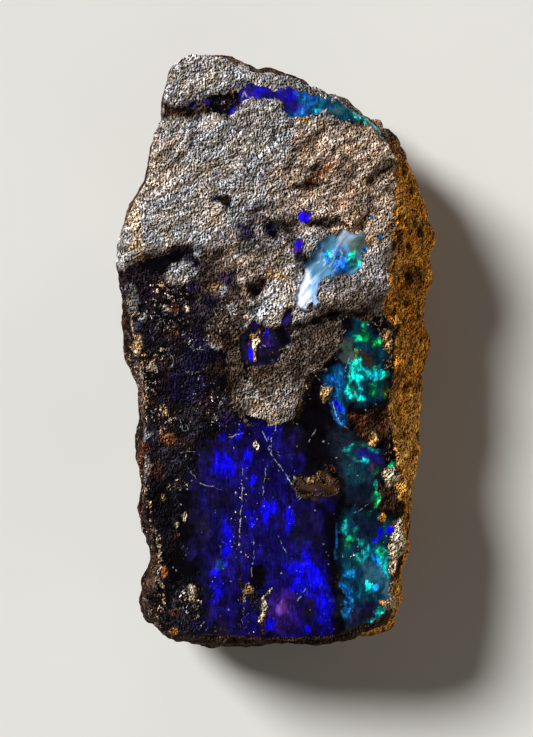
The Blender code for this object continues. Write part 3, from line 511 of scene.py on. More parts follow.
    ("ochre", 0.8, 380, 606, 3, 6), ("rust", 0.8, 393, 573, 5, 5), ("rust", 0.6, 388, 622, 5, 6),
    ("cyan", 0.8, 383, 574, 4, 7), ("haze", 0.6, 384, 592, 4, 9), ("cream", 0.8, 389, 568, 3, 9),
    ("brown sand", 0.6, 388, 596, 5, 14),
)

# Where the polish runs over steep ground, in millimetres: the glossy ramp, and the vein's end on the rim.
RAMP = ((1.4, 2.8), (3.2, 4.6), (5.0, 6.2), (6.8, 8.0), (6.4, 9.6), (3.0, 9.2), (1.2, 6.4), (0.8, 3.2))
VEIN_END = ((-4.0, 19.0), (-2.0, 20.6), (2.0, 20.4), (9.0, 17.0), (8.6, 15.8), (5.0, 17.0), (1.0, 17.0))

# Broad cracks, smears and bright edges: finish, strength, half width, then points.
LINES = (
    ("indigo", 0.5, 2.6, (188, 474), (198, 484), (216, 488)),
    ("cream", 0.9, 1.5, (270, 590), (263, 601), (259, 612), (254, 622)),
    ("umber", 0.8, 2.0, (266, 598), (262, 612), (257, 626)),
    ("umber", 0.7, 1.2, (237, 560), (238, 590), (236, 634)), ("cream", 0.4, 0.8, (240, 590), (239, 634)),
    # Pale streaks on the ramp: milky opal with painted glare.
    ("milk", 0.3, 0.9, (341, 232), (335, 246), (327, 262), (316, 277), (309, 288)),
    ("milk", 0.4, 0.7, (337, 250), (336, 262), (329, 272)),
    ("milk", 0.25, 0.7, (322, 244), (314, 262), (306, 274)),
    ("tan specks", 1.0, 3.0, (143, 486), (144, 499), (150, 528), (156, 541), (157, 555), (153, 578),
        (158, 590), (159, 606), (157, 621)),
    ("cream", 0.6, 0.6, (155, 538), (157, 552), (153, 576), (157, 590)),
    ("cyan", 0.45, 1.8, (343, 452), (351, 445), (364, 446), (376, 452)),
    ("cyan", 0.3, 1.6, (344, 457), (352, 462), (359, 464)),
    ("cyan", 0.6, 0.9, (379, 608), (375, 616), (369, 623)),
    ("azure", 0.5, 0.8, (333, 526), (331, 545), (335, 562)), ("cream", 0.7, 1.3, (124, 322), (127, 338)),
    ("cream", 0.7, 1.2, (127, 360), (130, 374)),
    # Painted highlight along the ledge's lit lip, and painted shade below it.
    ("bright sand", 0.8, 1.5, (290, 326), (300, 322), (312, 316), (322, 313)),
    ("crevice", 0.9, 2.2, (288, 330), (302, 326), (314, 320), (334, 314), (352, 314)),
    # creases of the crust: painted shade in them, painted highlight on a lit lip, stained beside them
    ("stain", 0.6, 4.0, (306, 184), (316, 175), (330, 164)),
    ("crevice", 0.9, 2.4, (295, 187), (306, 184), (317, 186)),
    ("crevice", 0.8, 1.6, (307, 180), (319, 172), (331, 163)),
    ("crevice", 0.8, 1.8, (380, 173), (390, 168), (396, 161)),
    ("crevice", 0.8, 1.4, (381, 188), (386, 181), (390, 178)),
    ("crevice", 0.8, 2.0, (243, 211), (258, 210), (271, 208)),
    ("crevice", 0.9, 2.6, (309, 226), (320, 229), (330, 225), (342, 225)),
    ("stain", 0.5, 3.0, (334, 201), (343, 207)), ("crevice", 0.7, 1.5, (196, 120), (190, 134), (186, 150)),
    ("crevice", 0.6, 1.3, (350, 176), (360, 168), (372, 160)),
    ("crevice", 0.6, 1.3, (330, 150), (342, 143), (352, 140)),
    ("crevice", 0.6, 1.4, (352, 214), (364, 205), (372, 194)),
    ("crevice", 0.7, 1.6, (268, 250), (280, 246), (288, 240)),
    ("crevice", 0.8, 1.8, (232, 262), (246, 252), (262, 246)),
    ("bright sand", 0.6, 1.3, (220, 268), (232, 257), (250, 246)),
    ("crevice", 0.8, 3.0, (234, 292), (242, 302), (250, 312)),
    ("crevice", 0.6, 1.6, (346, 296), (356, 288), (368, 286)),
    ("crevice", 0.6, 1.5, (330, 304), (344, 302), (358, 306)),
)

# Thin pale scratches and chipped edges in the polish: strength, then points.
SCRATCHES = (
    (1.0, (310, 374), (318, 386), (328, 397), (331, 411), (336, 423), (343, 428)),
    (0.9, (260, 432), (264, 447), (268, 455), (283, 476), (290, 486), (292, 494)),
    (0.8, (272, 428), (268, 440), (268, 453)), (0.9, (239, 473), (238, 512), (236, 535)),
    (0.5, (186, 471), (198, 485), (214, 490)), (0.7, (311, 432), (307, 441)),
    (0.7, (177, 411), (181, 421), (185, 431), (181, 431), (178, 423)),
    (0.8, (153, 314), (158, 322), (165, 327), (171, 327)), (0.9, (181, 335), (185, 333), (190, 337)),
    (1.0, (173, 315), (179, 308), (182, 305)), (1.0, (217, 293), (221, 286)), (0.8, (227, 258), (222, 263)),
    (0.8, (233, 394), (238, 387)), (0.8, (214, 405), (224, 398)), (0.9, (192, 251), (195, 258)),
    (0.7, (208, 344), (218, 348)), (0.7, (166, 352), (170, 360), (168, 366)), (0.7, (196, 372), (203, 368)),
    (0.7, (152, 328), (165, 313)), (0.7, (148, 334), (150, 339)), (0.7, (190, 348), (198, 350)),
    (0.7, (222, 398), (217, 407)), (0.9, (229, 437), (236, 435)), (0.7, (180, 453), (188, 452)),
    (0.6, (277, 540), (282, 550)), (0.8, (345, 362), (342, 374)), (0.7, (353, 513), (362, 507)),
    (0.6, (262, 470), (259, 500)), (0.6, (250, 545), (249, 575)), (0.6, (296, 600), (303, 590)),
)

# How noise is stretched along the stone: even, in level beds, in upright pits or in fibres.
BEDDINGS = {
    "even": (1.0, 1.0, 1.0),
    "beds": (0.25, 0.2, 1.0),
    "pits": (0.5, 0.45, 1.0),
    "upright": (1.0, 0.4, 1.0),
    "fibres": (1.0, 0.45, 0.6),
}

# Mottles: finish, strength, bedding, size of the patches, seed, the noise where they begin and are full.
LEFT_SIDE = (
    ("umber", 0.6, "even", 1.9, 51, -0.1, 0.6), ("slate", 0.6, "even", 1.0, 60, 0.1, 0.5),
    ("soot", 0.9, "even", 0.9, 77, -0.05, 0.3), ("brown specks", 1.0, "even", 1.5, 52, -0.2, 0.5),
    ("pale specks", 0.8, "even", 1.2, 87, -0.1, 0.5),
)
LEFT_LOW = (("slate", 0.5, "even", 1.3, 78, 0.0, 0.6), ("pale specks", 0.4, "even", 1.0, 89, 0.0, 0.6))
ELSEWHERE = (("few specks", 0.5, "even", 1.7, 55, 0.1, 0.6),)
CRUST_MOTTLES = (("brown sand", 0.5, "even", 2.6, 53, -0.1, 0.7),)
# Crevice patches in the tongue and on the walls below are painted shade in pits and between fibres.
TONGUE_PITS = (("crevice", 0.85, "upright", 0.6, 83, 0.15, 0.5),)
TONGUE_STAINS = (("dark sand", 0.6, "even", 0.9, 91, 0.1, 0.5),)
WALLS = (
    ("brown sand", 0.8, "even", 3.4, 75, 0.0, 0.6), ("ironstone", 0.85, "beds", 1.4, 63, 0.0, 0.35),
    ("stain", 0.45, "beds", 0.9, 62, 0.2, 0.6), ("tan specks", 0.4, "even", 0.9, 64, 0.3, 0.7),
    ("crevice", 0.8, "pits", 0.7, 76, 0.30, 0.55),
)
LEFT_WALL_SOOT = (("soot", 0.75, "even", 0.8, 93, 0.05, 0.4),)
LEFT_WALL = (("pale specks", 0.7, "even", 0.7, 94, 0.1, 0.5), ("crevice", 0.8, "even", 0.6, 86, 0.25, 0.5))
OCHRE_WALL = (
    ("rust", 0.4, "beds", 0.8, 65, 0.1, 0.6), ("tan", 0.6, "fibres", 0.34, 70, 0.25, 0.6),
    ("crevice", 0.9, "fibres", 0.4, 66, 0.3, 0.55), ("dark sand", 0.6, "fibres", 1.3, 74, 0.2, 0.7),
)
SUNLIT_OCHRE = (("gold sand", 0.85, "fibres", 0.7, 92, -0.6, 0.1),)

# Raggedness of painted edges: strength, size and seed of each noise.
RAGGED_EDGES = ((0.16, 1.1, 31), (0.17, 0.33, 41))
BROKEN_EDGES = ((0.45, 0.36, 54), (0.45, 0.8, 58))
TONGUE_TATTERS = ((0.5, 0.5, 79), (0.4, 1.1, 80))
WALL_CRUMBS = ((1.0, 0.5, 84), (0.4, 1.6, 85))
SEAM_TATTERS = ((0.5, 1.6, 71),)

# Where painted zones begin and are full, in millimetres: across the stone, then along it.
LEFT_ZONE = ((-3.5, -6.0), (-12.5, -8.0))
LEFT_LOW_ZONE = ((-5.0, -7.0), (-7.0, -9.0))
LEFT_WALL_ZONE = ((-6.0, -9.0), (8.0, 5.0))
RIGHT_WALL_ZONE = ((3.0, 6.5), (16.5, 13.5))
SUNLIT_FROM = (-2.0, -6.0)
SUNLIT_TO = (-12.0, -9.0)
FRONT_FROM = (-20.5, -22.0)

# Edges of painted marks: where their cover begins and is full, in millimetres or in the mark's own size.
TONGUE_EDGE = (0.3, -0.3)
AREA_TATTERS = 1.3
SPOT_EDGE = (1.4, 0.7)
LINE_EDGE = (1.6, 0.4)
CRUST_PAINT_EDGE = 0.18
SCRATCH_FADE = (5.0, 2.0)

# Broken rims and ledges: how steep the ground is where the opal begins to crumble and is all broken.
LEDGE_SLOPES = (0.2, 0.5)
RIM_STEEPNESS = (0.12, 0.28)
SLOPE_STEP = 0.1
LEAST_SHARE = 0.01


# ---------------------------------------------------------------- form, as in the solid
def lattice_noise(points, size, seed):
    """Smooth random values between -1 and 1 that change over about `size` millimetres."""
    cell = points / size
    corner = np.floor(cell).astype(np.int64)
    part = cell - corner
    part = part * part * (3.0 - 2.0 * part)
    total = np.zeros(len(points))
    for step in itertools.product((0, 1), repeat=3):
        key = (corner + step) @ np.array((73856093, 19349663, 83492791)) + seed * 9176131
        key = (key ^ (key >> 13)) * 1274126177
        value = ((key >> 16) & 65535) / 32767.5 - 1.0
        total += value * np.prod(np.where(step, part, 1.0 - part), axis=1)
    return total


def smooth_step(low, high, value):
    """0 below low, 1 above high, and a smooth rise between them."""
    part = np.clip((value - low) / (high - low), 0.0, 1.0)
    return part * part * (3.0 - 2.0 * part)


def soft_max(first, second, rounding):
    """The larger of two fields, with a rounded edge where they meet."""
    near = np.maximum(rounding - np.abs(first - second), 0.0)
    return np.maximum(first, second) + near * near / (4.0 * rounding)


def segment_distance(x, y, start, end):
    """Distance to a straight segment, and how far along it the nearest point is, from 0 to 1."""
    along_x = end[0] - start[0]
    along_y = end[1] - start[1]
    length_squared = along_x * along_x + along_y * along_y
    part = ((x - start[0]) * along_x + (y - start[1]) * along_y) / length_squared
    part = np.clip(part, 0.0, 1.0)
    return np.hypot(x - start[0] - part * along_x, y - start[1] - part * along_y), part


def route_distance(x, y, route):
    """Distance to a line through several points."""
    nearest = np.full(x.shape, np.inf)
    for start, end in zip(route, route[1:]):
        nearest = np.minimum(nearest, segment_distance(x, y, start, end)[0])
    return nearest


def region_distance(x, y, corners):
    """Signed distance to a closed outline, below zero inside it."""
    inside = np.zeros(x.shape, dtype=bool)
    for start, end in zip(corners, corners[1:] + corners[:1]):
        crosses = (start[1] > y) != (end[1] > y)
        rise = (end[1] - start[1]) or 1.0
        inside ^= crosses & (x < start[0] + (end[0] - start[0]) * (y - start[1]) / rise)
    distance = route_distance(x, y, corners + corners[:1])
    return np.where(inside, -distance, distance)


def inside_region(x, y, corners, edge):
    """1 inside a closed outline and 0 outside it, over a soft edge."""
    return smooth_step(edge, -edge, region_distance(x, y, corners))


def edge_insets(x, y):
    """The insets of the upper and lower edges, blended from the stretches of outline nearby."""
    top_sum = base_sum = weight_sum = 0.0
    for start, end in zip(OUTLINE, OUTLINE[1:] + OUTLINE[:1]):
        distance, part = segment_distance(x, y, start, end)
        weight = np.exp(-distance / INSET_BLEND) + 1e-12
        top_sum = top_sum + weight * (start[2] + part * (end[2] - start[2]))
        base_sum = base_sum + weight * (start[3] + part * (end[3] - start[3]))
        weight_sum = weight_sum + weight
    return top_sum / weight_sum, base_sum / weight_sum


def top_height(x, y):
    """Height of the upper face before its ledges, pits and lumps."""
    height = np.full(x.shape, -100.0)
    for middle_height, slope_x, slope_y in FACETS.values():
        height = soft_max(height, -(middle_height + slope_x * x + slope_y * y), FACET_ROUNDING)
    return -height


def stone_field(points):
    """Signed field of the stone's broad form: below zero inside, zero on the surface."""
    x, y, z = points.T
    corners = tuple(point[:2] for point in OUTLINE)
    top_inset, base_inset = edge_insets(x, y)
    above = np.clip((z - WIDEST_LEVEL) / (HEIGHT - WIDEST_LEVEL), 0.0, 1.3)
    below = np.clip((WIDEST_LEVEL - z) / WIDEST_LEVEL, 0.0, 1.3)
    side = region_distance(x, y, corners) + top_inset * above ** UPPER_SIDE_POWER
    side = side + base_inset * below ** LOWER_SIDE_POWER
    field = soft_max(side, z - top_height(x, y), TOP_EDGE_ROUNDING)
    for facing, through in CHIPS:
        field = soft_max(field, (points - through) @ np.array(facing), CHIP_ROUNDING)
    return soft_max(field, -z, BASE_EDGE_ROUNDING)


def field_gradient(points):
    """Direction of the field, which is the outward direction at the surface."""
    step = 0.05
    columns = []
    for axis in np.eye(3):
        columns.append(stone_field(points + step * axis) - stone_field(points - step * axis))
    return np.stack(columns, axis=1) / (2.0 * step)


def settle_on_field(points, rounds):
    """Move points onto the surface of the stone's broad form."""
    for _ in range(rounds):
        gradient = field_gradient(points)
        size = np.maximum(np.einsum("ij,ij->i", gradient, gradient), 0.2)
        move = gradient * (stone_field(points) / size)[:, None]
        length = np.linalg.norm(move, axis=1, keepdims=True)
        points = points - move * np.minimum(1.0, LONGEST_MOVE / np.maximum(length, 1e-9))
    return points


def top_relief(x, y):
    """Ledges, lumps, pits and grooves of the upper face."""
    relief = CRUST_HEIGHT * inside_region(x, y, CRUST, CRUST_EDGE)
    relief += SAND_TONGUE_HEIGHT * inside_region(x, y, SAND_TONGUE, SAND_TONGUE_EDGE)
    relief -= POTCH_BASIN_DEPTH * inside_region(x, y, POTCH_BASIN, POTCH_BASIN_EDGE)
    relief -= VEIN_DEPTH * inside_region(x, y, VEIN, CRUST_EDGE)
    for centre_x, centre_y, half_x, half_y, height in LUMPS:
        reach = np.hypot((x - centre_x) / half_x, (y - centre_y) / half_y)
        relief += height * smooth_step(1.3, 0.2, reach)
    for depth, half_width, *route in GROOVES:
        relief -= depth * smooth_step(half_width, 0.0, route_distance(x, y, route))
    return relief


def wall_relief(points):
    """Beds that run along the stone with broken ledges between them, and creased lumps."""
    level = points[:, 2] + 1.2 * lattice_noise(points, 8.0, 5)
    beds = np.stack((points[:, 0] * 0.16, points[:, 1] * 0.13, level), axis=1)
    relief = BED_DEPTH * np.tanh(3.0 * lattice_noise(beds, BED_THICKNESS, 8))
    relief += WALL_LUMP_HEIGHT * lattice_noise(points, WALL_LUMP_SIZE, 2)
    knobs = np.abs(lattice_noise(points, WALL_KNOB_SIZE, 4))
    relief += WALL_KNOB_HEIGHT * (2.0 * knobs - 0.5) - WALL_SETBACK
    away = smooth_step(0.3, 2.6, np.abs(points[:, 2] - WIDEST_LEVEL))
    return np.where(relief > 0.0, PROUD_SHARE, 0.3 + 0.7 * away) * relief


def underside_relief(points):
    """Shallow hollows around the flat patch that the stone rests on."""
    reach = np.hypot(points[:, 0] / REST_PATCH[0], points[:, 1] / REST_PATCH[1])
    hollow = 0.5 + 0.5 * lattice_noise(points, 3.2, 11)
    return -UNDERSIDE_HOLLOW * hollow * smooth_step(0.95, 1.35, reach)


# ---------------------------------------------------------------- paint
def patches(points, size, seed, low, high):
    """1 in patches of about `size` millimetres, where noise is above high, and 0 where it is below low."""
    return smooth_step(low, high, lattice_noise(points, size, seed))


def layered_noise(points, layers):
    """Several noises laid over each other: strength, size and seed of each."""
    return sum(strength * lattice_noise(points, size, seed) for strength, size, seed in layers)


def zone(x, y, across, along):
    """1 in a zone of the stone and 0 outside it, over soft edges."""
    return smooth_step(*across, x) * smooth_step(*along, y)


class Paint:
    """Sand over opal at each point: the sand's colour and share, the opal's body and fire, the rise."""

    def __init__(self, count):
        self.body = np.tile(OPALS["potch"][0], (count, 1))
        self.fire = np.zeros((count, 3))
        self.sand = np.tile(SANDS["grey sand"][0], (count, 1))
        self.share = np.zeros(count)
        self.rise = np.zeros(count)
        self.fleck = np.tile(FLECKS["pale specks"][0], (count, 1))
        self.fleck_share = np.zeros(count)

    def add(self, finish, cover):
        """Lay a finish over the points, as strongly as cover says at each."""
        if finish in FLECKS:
            self.mix_flecks(*FLECKS[finish], cover)
            return
        self.fleck_share = self.fleck_share * (1.0 - cover)
        if finish in OPALS:
            body, fire = OPALS[finish]
            bare = cover + (1.0 - cover) * (1.0 - self.share)
            self.mix_opal(body, fire, cover / np.maximum(bare, LEAST_SHARE))
            self.share = self.share * (1.0 - cover)
            self.rise = self.rise * (1.0 - cover)
        else:
            self.mix_sand(*SANDS[finish], cover)

    def mottle(self, points, cover, mottles):
        """Lay finishes over the covered points, each in patches of its own."""
        for finish, strength, bedding, size, seed, low, high in mottles:
            self.add(finish, strength * cover * patches(points * BEDDINGS[bedding], size, seed, low, high))

    def mix_opal(self, body, fire, cover):
        self.body = self.body + (body - self.body) * cover[:, None]
        self.fire = self.fire + (fire - self.fire) * cover[:, None]

    def mix_sand(self, sand, share, rise, cover):
        new_part = share * cover
        weight = new_part / np.maximum(new_part + self.share * (1.0 - cover), LEAST_SHARE)
        self.sand = self.sand + (sand - self.sand) * weight[:, None]
        self.share = self.share + (share - self.share) * cover
        self.rise = self.rise + (rise - self.rise) * cover

    def mix_flecks(self, fleck, share, cover):
        new_part = share * cover
        weight = new_part / np.maximum(new_part + self.fleck_share * (1.0 - cover), LEAST_SHARE)
        self.fleck = self.fleck + (fleck - self.fleck) * weight[:, None]
        self.fleck_share = self.fleck_share + (share - self.fleck_share) * cover

    def merge(self, other, cover):
        """Lay another coat of paint over this one."""
        self.mix_flecks(other.fleck, other.fleck_share, cover)
        self.mix_opal(other.body, other.fire, cover)
        self.mix_sand(other.sand, other.share, other.rise, cover)


def ragged(points):
    """Points pushed about sideways, so that an edge that is drawn straight comes out ragged."""
    x, y, _ = points.T
    for reach, size, seed in RAGGED_EDGES:
        x = x + reach * lattice_noise(points, size, seed)
        y = y + reach * lattice_noise(points, size, seed + 1)
    return x, y


def photo_pixels(x, y):
    """Where places on the upper face lie in the photograph."""
    return PIXEL_OF_MIDDLE[0] + PIXELS_PER_MM * x, PIXEL_OF_MIDDLE[1] - PIXELS_PER_MM * y


def paint_upper_face(points, steepness):
    """The upper face: sandy crust over dark opal, with every window, band and fleck."""
    x, y = ragged(points)
    paint = Paint(len(points))

    # the dark left side, and its lower corner
    left_side = zone(x, y, *LEFT_ZONE)
    paint.add("plum", left_side)
    paint.mottle(points, left_side, LEFT_SIDE)
    left_low = zone(x, y, *LEFT_LOW_ZONE)
    paint.add("soot", left_low * smooth_step(-7.4, -8.6, x + 0.8 * lattice_noise(points, 1.5, 88)))
    paint.mottle(points, left_low, LEFT_LOW)
    paint.mottle(points, 1.0 - left_side, ELSEWHERE)

    # the sandy crust and its tongue
    reach = region_distance(x, y, SAND_TONGUE) + layered_noise(points, TONGUE_TATTERS)
    tongue = smooth_step(*TONGUE_EDGE, reach)
    crust = np.maximum(inside_region(x, y, CRUST, CRUST_PAINT_EDGE), tongue)
    paint.add("grey sand", crust)
    paint.mottle(points, crust, CRUST_MOTTLES)
    paint.add("dusky sand", 0.9 * tongue)
    paint.add("grey sand", 0.35 * tongue * smooth_step(-2.0, -3.2, y))
    paint.mottle(points, tongue, TONGUE_PITS)
    paint.add("brown sand", 0.7 * tongue * patches(points, 1.4, 90, 0.0, 0.5) * smooth_step(0.5, -1.5, x))
    paint.mottle(points, tongue, TONGUE_STAINS)
    # Painted shade: dark sand in slanting hollows of the crust, stronger to the right.
    hollow_shade = patches(np.stack((0.45 * (x + y), 0.8 * (x - y), points[:, 2]), axis=1), 1.3, 59, 0.25, 0.7)
    paint.add("dark sand", 0.55 * crust * hollow_shade * smooth_step(-7.0, 4.0, x))

    # areas, spots and lines
    pixel_x, pixel_y = photo_pixels(x, y)
    broken = layered_noise(points, BROKEN_EDGES)
    for finish, strength, edge, corners in AREAS:
        reach = region_distance(pixel_x, pixel_y, corners) + AREA_TATTERS * edge * broken
        paint.add(finish, strength * smooth_step(edge, -edge, reach))
    paint.add("crumbs", crumbling(points, steepness) * (1.0 - paint.share))
    for finish, strength, middle_x, middle_y, half_x, half_y in SPOTS:
        reach = np.hypot((pixel_x - middle_x) / half_x, (pixel_y - middle_y) / half_y)
        paint.add(finish, strength * smooth_step(*SPOT_EDGE, reach + broken))
    for finish, strength, half_width, *route in LINES:
        aside = route_distance(pixel_x, pixel_y, route) / half_width + broken
        paint.add(finish, strength * smooth_step(*LINE_EDGE, aside))
    return paint


def scratches(points):
    """How far to one side of the nearest scratch each point lies, and how strongly it shows there."""
    x, y = photo_pixels(points[:, 0], points[:, 1])
    nearest = np.full(len(points), np.inf)
    aside = np.ones(len(points))
    cover = np.zeros(len(points))
    for strength, *route in SCRATCHES:
        for start, end in zip(route, route[1:]):
            distance, _ = segment_distance(x, y, start, end)
            along_x, along_y = np.subtract(end, start)
            side = ((x - start[0]) * along_y - (y - start[1]) * along_x) / np.hypot(along_x, along_y)
            closer = distance < nearest
            nearest = np.where(closer, distance, nearest)
            aside = np.where(closer, side / PIXELS_PER_MM, aside)
            cover = np.where(closer, strength * smooth_step(*SCRATCH_FADE, distance), cover)
    return aside, cover


def crumbling(points, steepness):
    """1 on rims and the steep edges of ledges, where the opal is broken and dull."""
    x, y, _ = points.T
    height = top_relief(x, y)
    slope_x = top_relief(x + SLOPE_STEP, y) - height
    slope_y = top_relief(x, y + SLOPE_STEP) - height
    slope = np.hypot(slope_x, slope_y) / SLOPE_STEP
    slope = slope + 0.15 * lattice_noise(points, 0.5, 57)
    steepness = steepness + 0.04 * lattice_noise(points, 0.8, 56)
    broken = np.maximum(smooth_step(*LEDGE_SLOPES, slope), smooth_step(*RIM_STEEPNESS, steepness))
    return broken * (1.0 - inside_region(x, y, RAMP, 0.6)) * (1.0 - inside_region(x, y, VEIN_END, 0.3))


def paint_walls(points):
    """The walls and underside: bedded ochre on the right, dark ironstone in front, brown elsewhere."""
    x, y, _ = points.T
    paint = Paint(len(points))
    everywhere = np.ones(len(points))
    paint.add("dusky sand", everywhere)
    paint.mottle(points, everywhere, WALLS)

    front = smooth_step(*FRONT_FROM, y + 0.5 * lattice_noise(points, 1.5, 67))
    left = zone(x, y, *LEFT_WALL_ZONE)
    paint.add("ironstone", np.maximum(0.9 * front, 0.8 * left))
    crumbs = smooth_step(0.1, 0.45, layered_noise(points, WALL_CRUMBS))
    paint.mottle(points, left, LEFT_WALL_SOOT)
    paint.add("tan specks", 0.9 * left * crumbs)
    paint.mottle(points, left, LEFT_WALL)

    right = zone(x + 0.8 * lattice_noise(points, 3.0, 61), y, *RIGHT_WALL_ZONE)
    paint.add("ochre", right)
    paint.mottle(points, right, OCHRE_WALL)
    # Painted sunlight: golden sand over the ochre wall's upper end.
    sunlit = right * smooth_step(*SUNLIT_FROM, y) * smooth_step(*SUNLIT_TO, y)
    paint.mottle(points, sunlit, SUNLIT_OCHRE)
    return paint


def ochre_cover(points):
    """1 on the ochre wall, which begins along its own edge to the right of the upper face."""
    x, y = photo_pixels(points[:, 0], points[:, 1])
    x = x + 3.0 * lattice_noise(points, 0.8, 68) + 2.0 * lattice_noise(points, 0.3, 69)
    edge_x, edge_y = np.array(OCHRE_EDGE, dtype=float).T
    beyond = smooth_step(-1.5, 1.5, x - np.interp(y, edge_y, edge_x))
    return beyond * smooth_step(150.0, 160.0, y)


# ---------------------------------------------------------------- mesh
COARSE_VOXEL = 1.0
# Faces turned up more than this are cut finer: all of them, all but the underside, then the upper face alone.
REFINED_ABOVE = (-1.1, -0.75, 0.45)
FACING_UP = (0.35, 0.75)
FACING_DOWN = (0.35, 0.85)
SEAM_DEPTH = 2.2
SEAM_EDGE = 0.35
GRAIN = ((0.07, 0.30, 91), (0.07, 0.6, 92))
SLANTED_GRAIN = ((0.34, 1.0, 93), (0.40, 2.1, 96))
CREASE_NOISE_SIZE = 1.5
CREASE_DEPTH = 0.12
CREASE_SHADE = 0.5
EDGE_PUSH = 0.15
EDGE_PUSH_SIZE = 0.9
RIPPLE_HEIGHT = 0.035
RIPPLE_STRETCH = (1.0, 0.45, 1.0)
POLISHED_LUMPS = 0.15
RESTING_LEVEL = 0.05


def outline_block():
    """The outline as a flat curve, thickened to a plain block of the stone's height."""
    curve = bpy.data.curves.new("outline", "CURVE")
    curve.dimensions = "2D"
    curve.fill_mode = "BOTH"
    curve.extrude = METRE * HEIGHT / 2.0
    line = curve.splines.new("POLY")
    line.points.add(len(OUTLINE) - 1)
    for point, corner in zip(line.points, OUTLINE):
        point.co = (METRE * corner[0], METRE * corner[1], METRE * HEIGHT / 2.0, 1.0)
    line.use_cyclic_u = True
    return evaluated(bpy.data.objects.new("outline", curve))


def evaluated(holder):
    """The mesh that a passing object comes to; the object itself is removed."""
    bpy.context.scene.collection.objects.link(holder)
    bpy.context.view_layer.update()
    graph = bpy.context.evaluated_depsgraph_get()
    mesh = bpy.data.meshes.new_from_object(holder.evaluated_get(graph))
    bpy.data.objects.remove(holder)
    return mesh


def remeshed(mesh, voxel):
    """The mesh with an even skin of voxel-sized faces."""
    holder = bpy.data.objects.new("holder", mesh)
    modifier = holder.modifiers.new("even", "REMESH")
    modifier.mode = "VOXEL"
    modifier.voxel_size = METRE * voxel
    return evaluated(holder)


def mesh_points(mesh):
    """The mesh's points in millimetres."""
    points = np.empty(3 * len(mesh.vertices))
    mesh.vertices.foreach_get("co", points)
    return points.reshape(-1, 3) / METRE


def move_points(mesh, points):
    """Put the mesh's points where they are given, in millimetres."""
    mesh.vertices.foreach_set("co", (points * METRE).ravel())
    mesh.update()


def settle(mesh, rounds):
    """Bring the mesh onto the stone's broad form."""
    move_points(mesh, settle_on_field(mesh_points(mesh), rounds))


def refine(mesh, level):
    """Cut the faces that are turned up more than the level, and the edges around them, in half each way."""
    edit = bmesh.new()
    edit.from_mesh(mesh)
    edges = {edge for face in edit.faces if face.normal.z > level for edge in face.edges}
    bmesh.ops.subdivide_edges(edit, edges=list(edges), cuts=1, use_grid_fill=True)
    edit.to_mesh(mesh)
    edit.free()
    settle(mesh, 1)


def broad_mesh():
    """The broad form as a closed mesh, finest on the upper face."""
    mesh = remeshed(outline_block(), COARSE_VOXEL)
    settle(mesh, 6)
    mesh = remeshed(mesh, COARSE_VOXEL)
    settle(mesh, 3)
    for level in REFINED_ABOVE:
        refine(mesh, level)
    return mesh


def paint_stone(points, outward):
    """The whole stone's paint: the upper face's over the walls', down to a ragged seam."""
    depth_below_top = top_height(points[:, 0], points[:, 1]) - points[:, 2]
    depth_below_top += layered_noise(points, SEAM_TATTERS)
    upper = smooth_step(SEAM_DEPTH + SEAM_EDGE, SEAM_DEPTH - SEAM_EDGE, depth_below_top)
    paint = paint_walls(points)
    paint.merge(paint_upper_face(points, 1.0 - outward[:, 2]), upper * (1.0 - ochre_cover(points)))
    return paint


def slanted_creases(points):
    """Slanting grain of the rough ground and the thin creases in it."""
    x, y, z = points.T
    slanted = np.stack((0.32 * (x + y), 0.7 * (x - y), z), axis=1)
    creased = 0.6 + 0.6 * smooth_step(-4.0, 5.0, x)
    grain = layered_noise(points, GRAIN) + creased * layered_noise(slanted, SLANTED_GRAIN)
    crease = np.abs(lattice_noise(slanted, CREASE_NOISE_SIZE, 97) + 0.4 * lattice_noise(points, 0.7, 98))
    crease = creased * smooth_step(0.22, 0.02, crease) * patches(points, 3.0, 99, -0.5, 0.3)
    return grain - CREASE_DEPTH * crease, crease


def build_stone():
    """The whole stone as one closed mesh, with its paint as attributes of the points."""
    mesh = broad_mesh()
    points = mesh_points(mesh)
    x, y, z = points.T
    outward = field_gradient(points)
    outward /= np.linalg.norm(outward, axis=1, keepdims=True)
    facing_up = smooth_step(*FACING_UP, outward[:, 2])
    facing_down = smooth_step(*FACING_DOWN, -outward[:, 2])
    sideways = 1.0 - facing_up - facing_down
    paint = paint_stone(points, outward)
    rough = paint.share

    pushed_x = x + EDGE_PUSH * lattice_noise(points, EDGE_PUSH_SIZE, 81)
    pushed_y = y + EDGE_PUSH * lattice_noise(points, EDGE_PUSH_SIZE, 82)
    relief = facing_up * top_relief(pushed_x, pushed_y)
    lumps = POLISHED_LUMPS + (1.0 - POLISHED_LUMPS) * rough
    relief += facing_up * lumps * TOP_LUMP_HEIGHT * lattice_noise(points, TOP_LUMP_SIZE, 3)
    relief += sideways * wall_relief(points) + facing_down * underside_relief(points)
    grain, crease = slanted_creases(points)
    paint.sand = paint.sand * (1.0 - CREASE_SHADE * np.clip(crease, 0.0, 1.0) * facing_up)[:, None]
    ripple = RIPPLE_HEIGHT * lattice_noise(points * RIPPLE_STRETCH, 0.9, 94)
    resting = facing_down * (z < RESTING_LEVEL)
    relief += (rough * grain + (1.0 - rough) * ripple + paint.rise) * (1.0 - resting)

    points = points + outward * relief[:, None]
    points[:, 2] = np.maximum(points[:, 2], 0.0)
    middle = (points.min(axis=0) + points.max(axis=0)) / 2.0
    move_points(mesh, points - (middle[0], middle[1], 0.0))
    aside, cover = scratches(points)
    store(mesh, {
        "sand": paint.sand, "sand_share": paint.share, "fleck": paint.fleck, "fleck_share": paint.fleck_share,
        "body": paint.body, "fire": paint.fire, "scratch_aside": aside, "scratch_cover": cover * facing_up,
    })
    mesh.polygons.foreach_set("use_smooth", np.ones(len(mesh.polygons), dtype=bool))
    return mesh


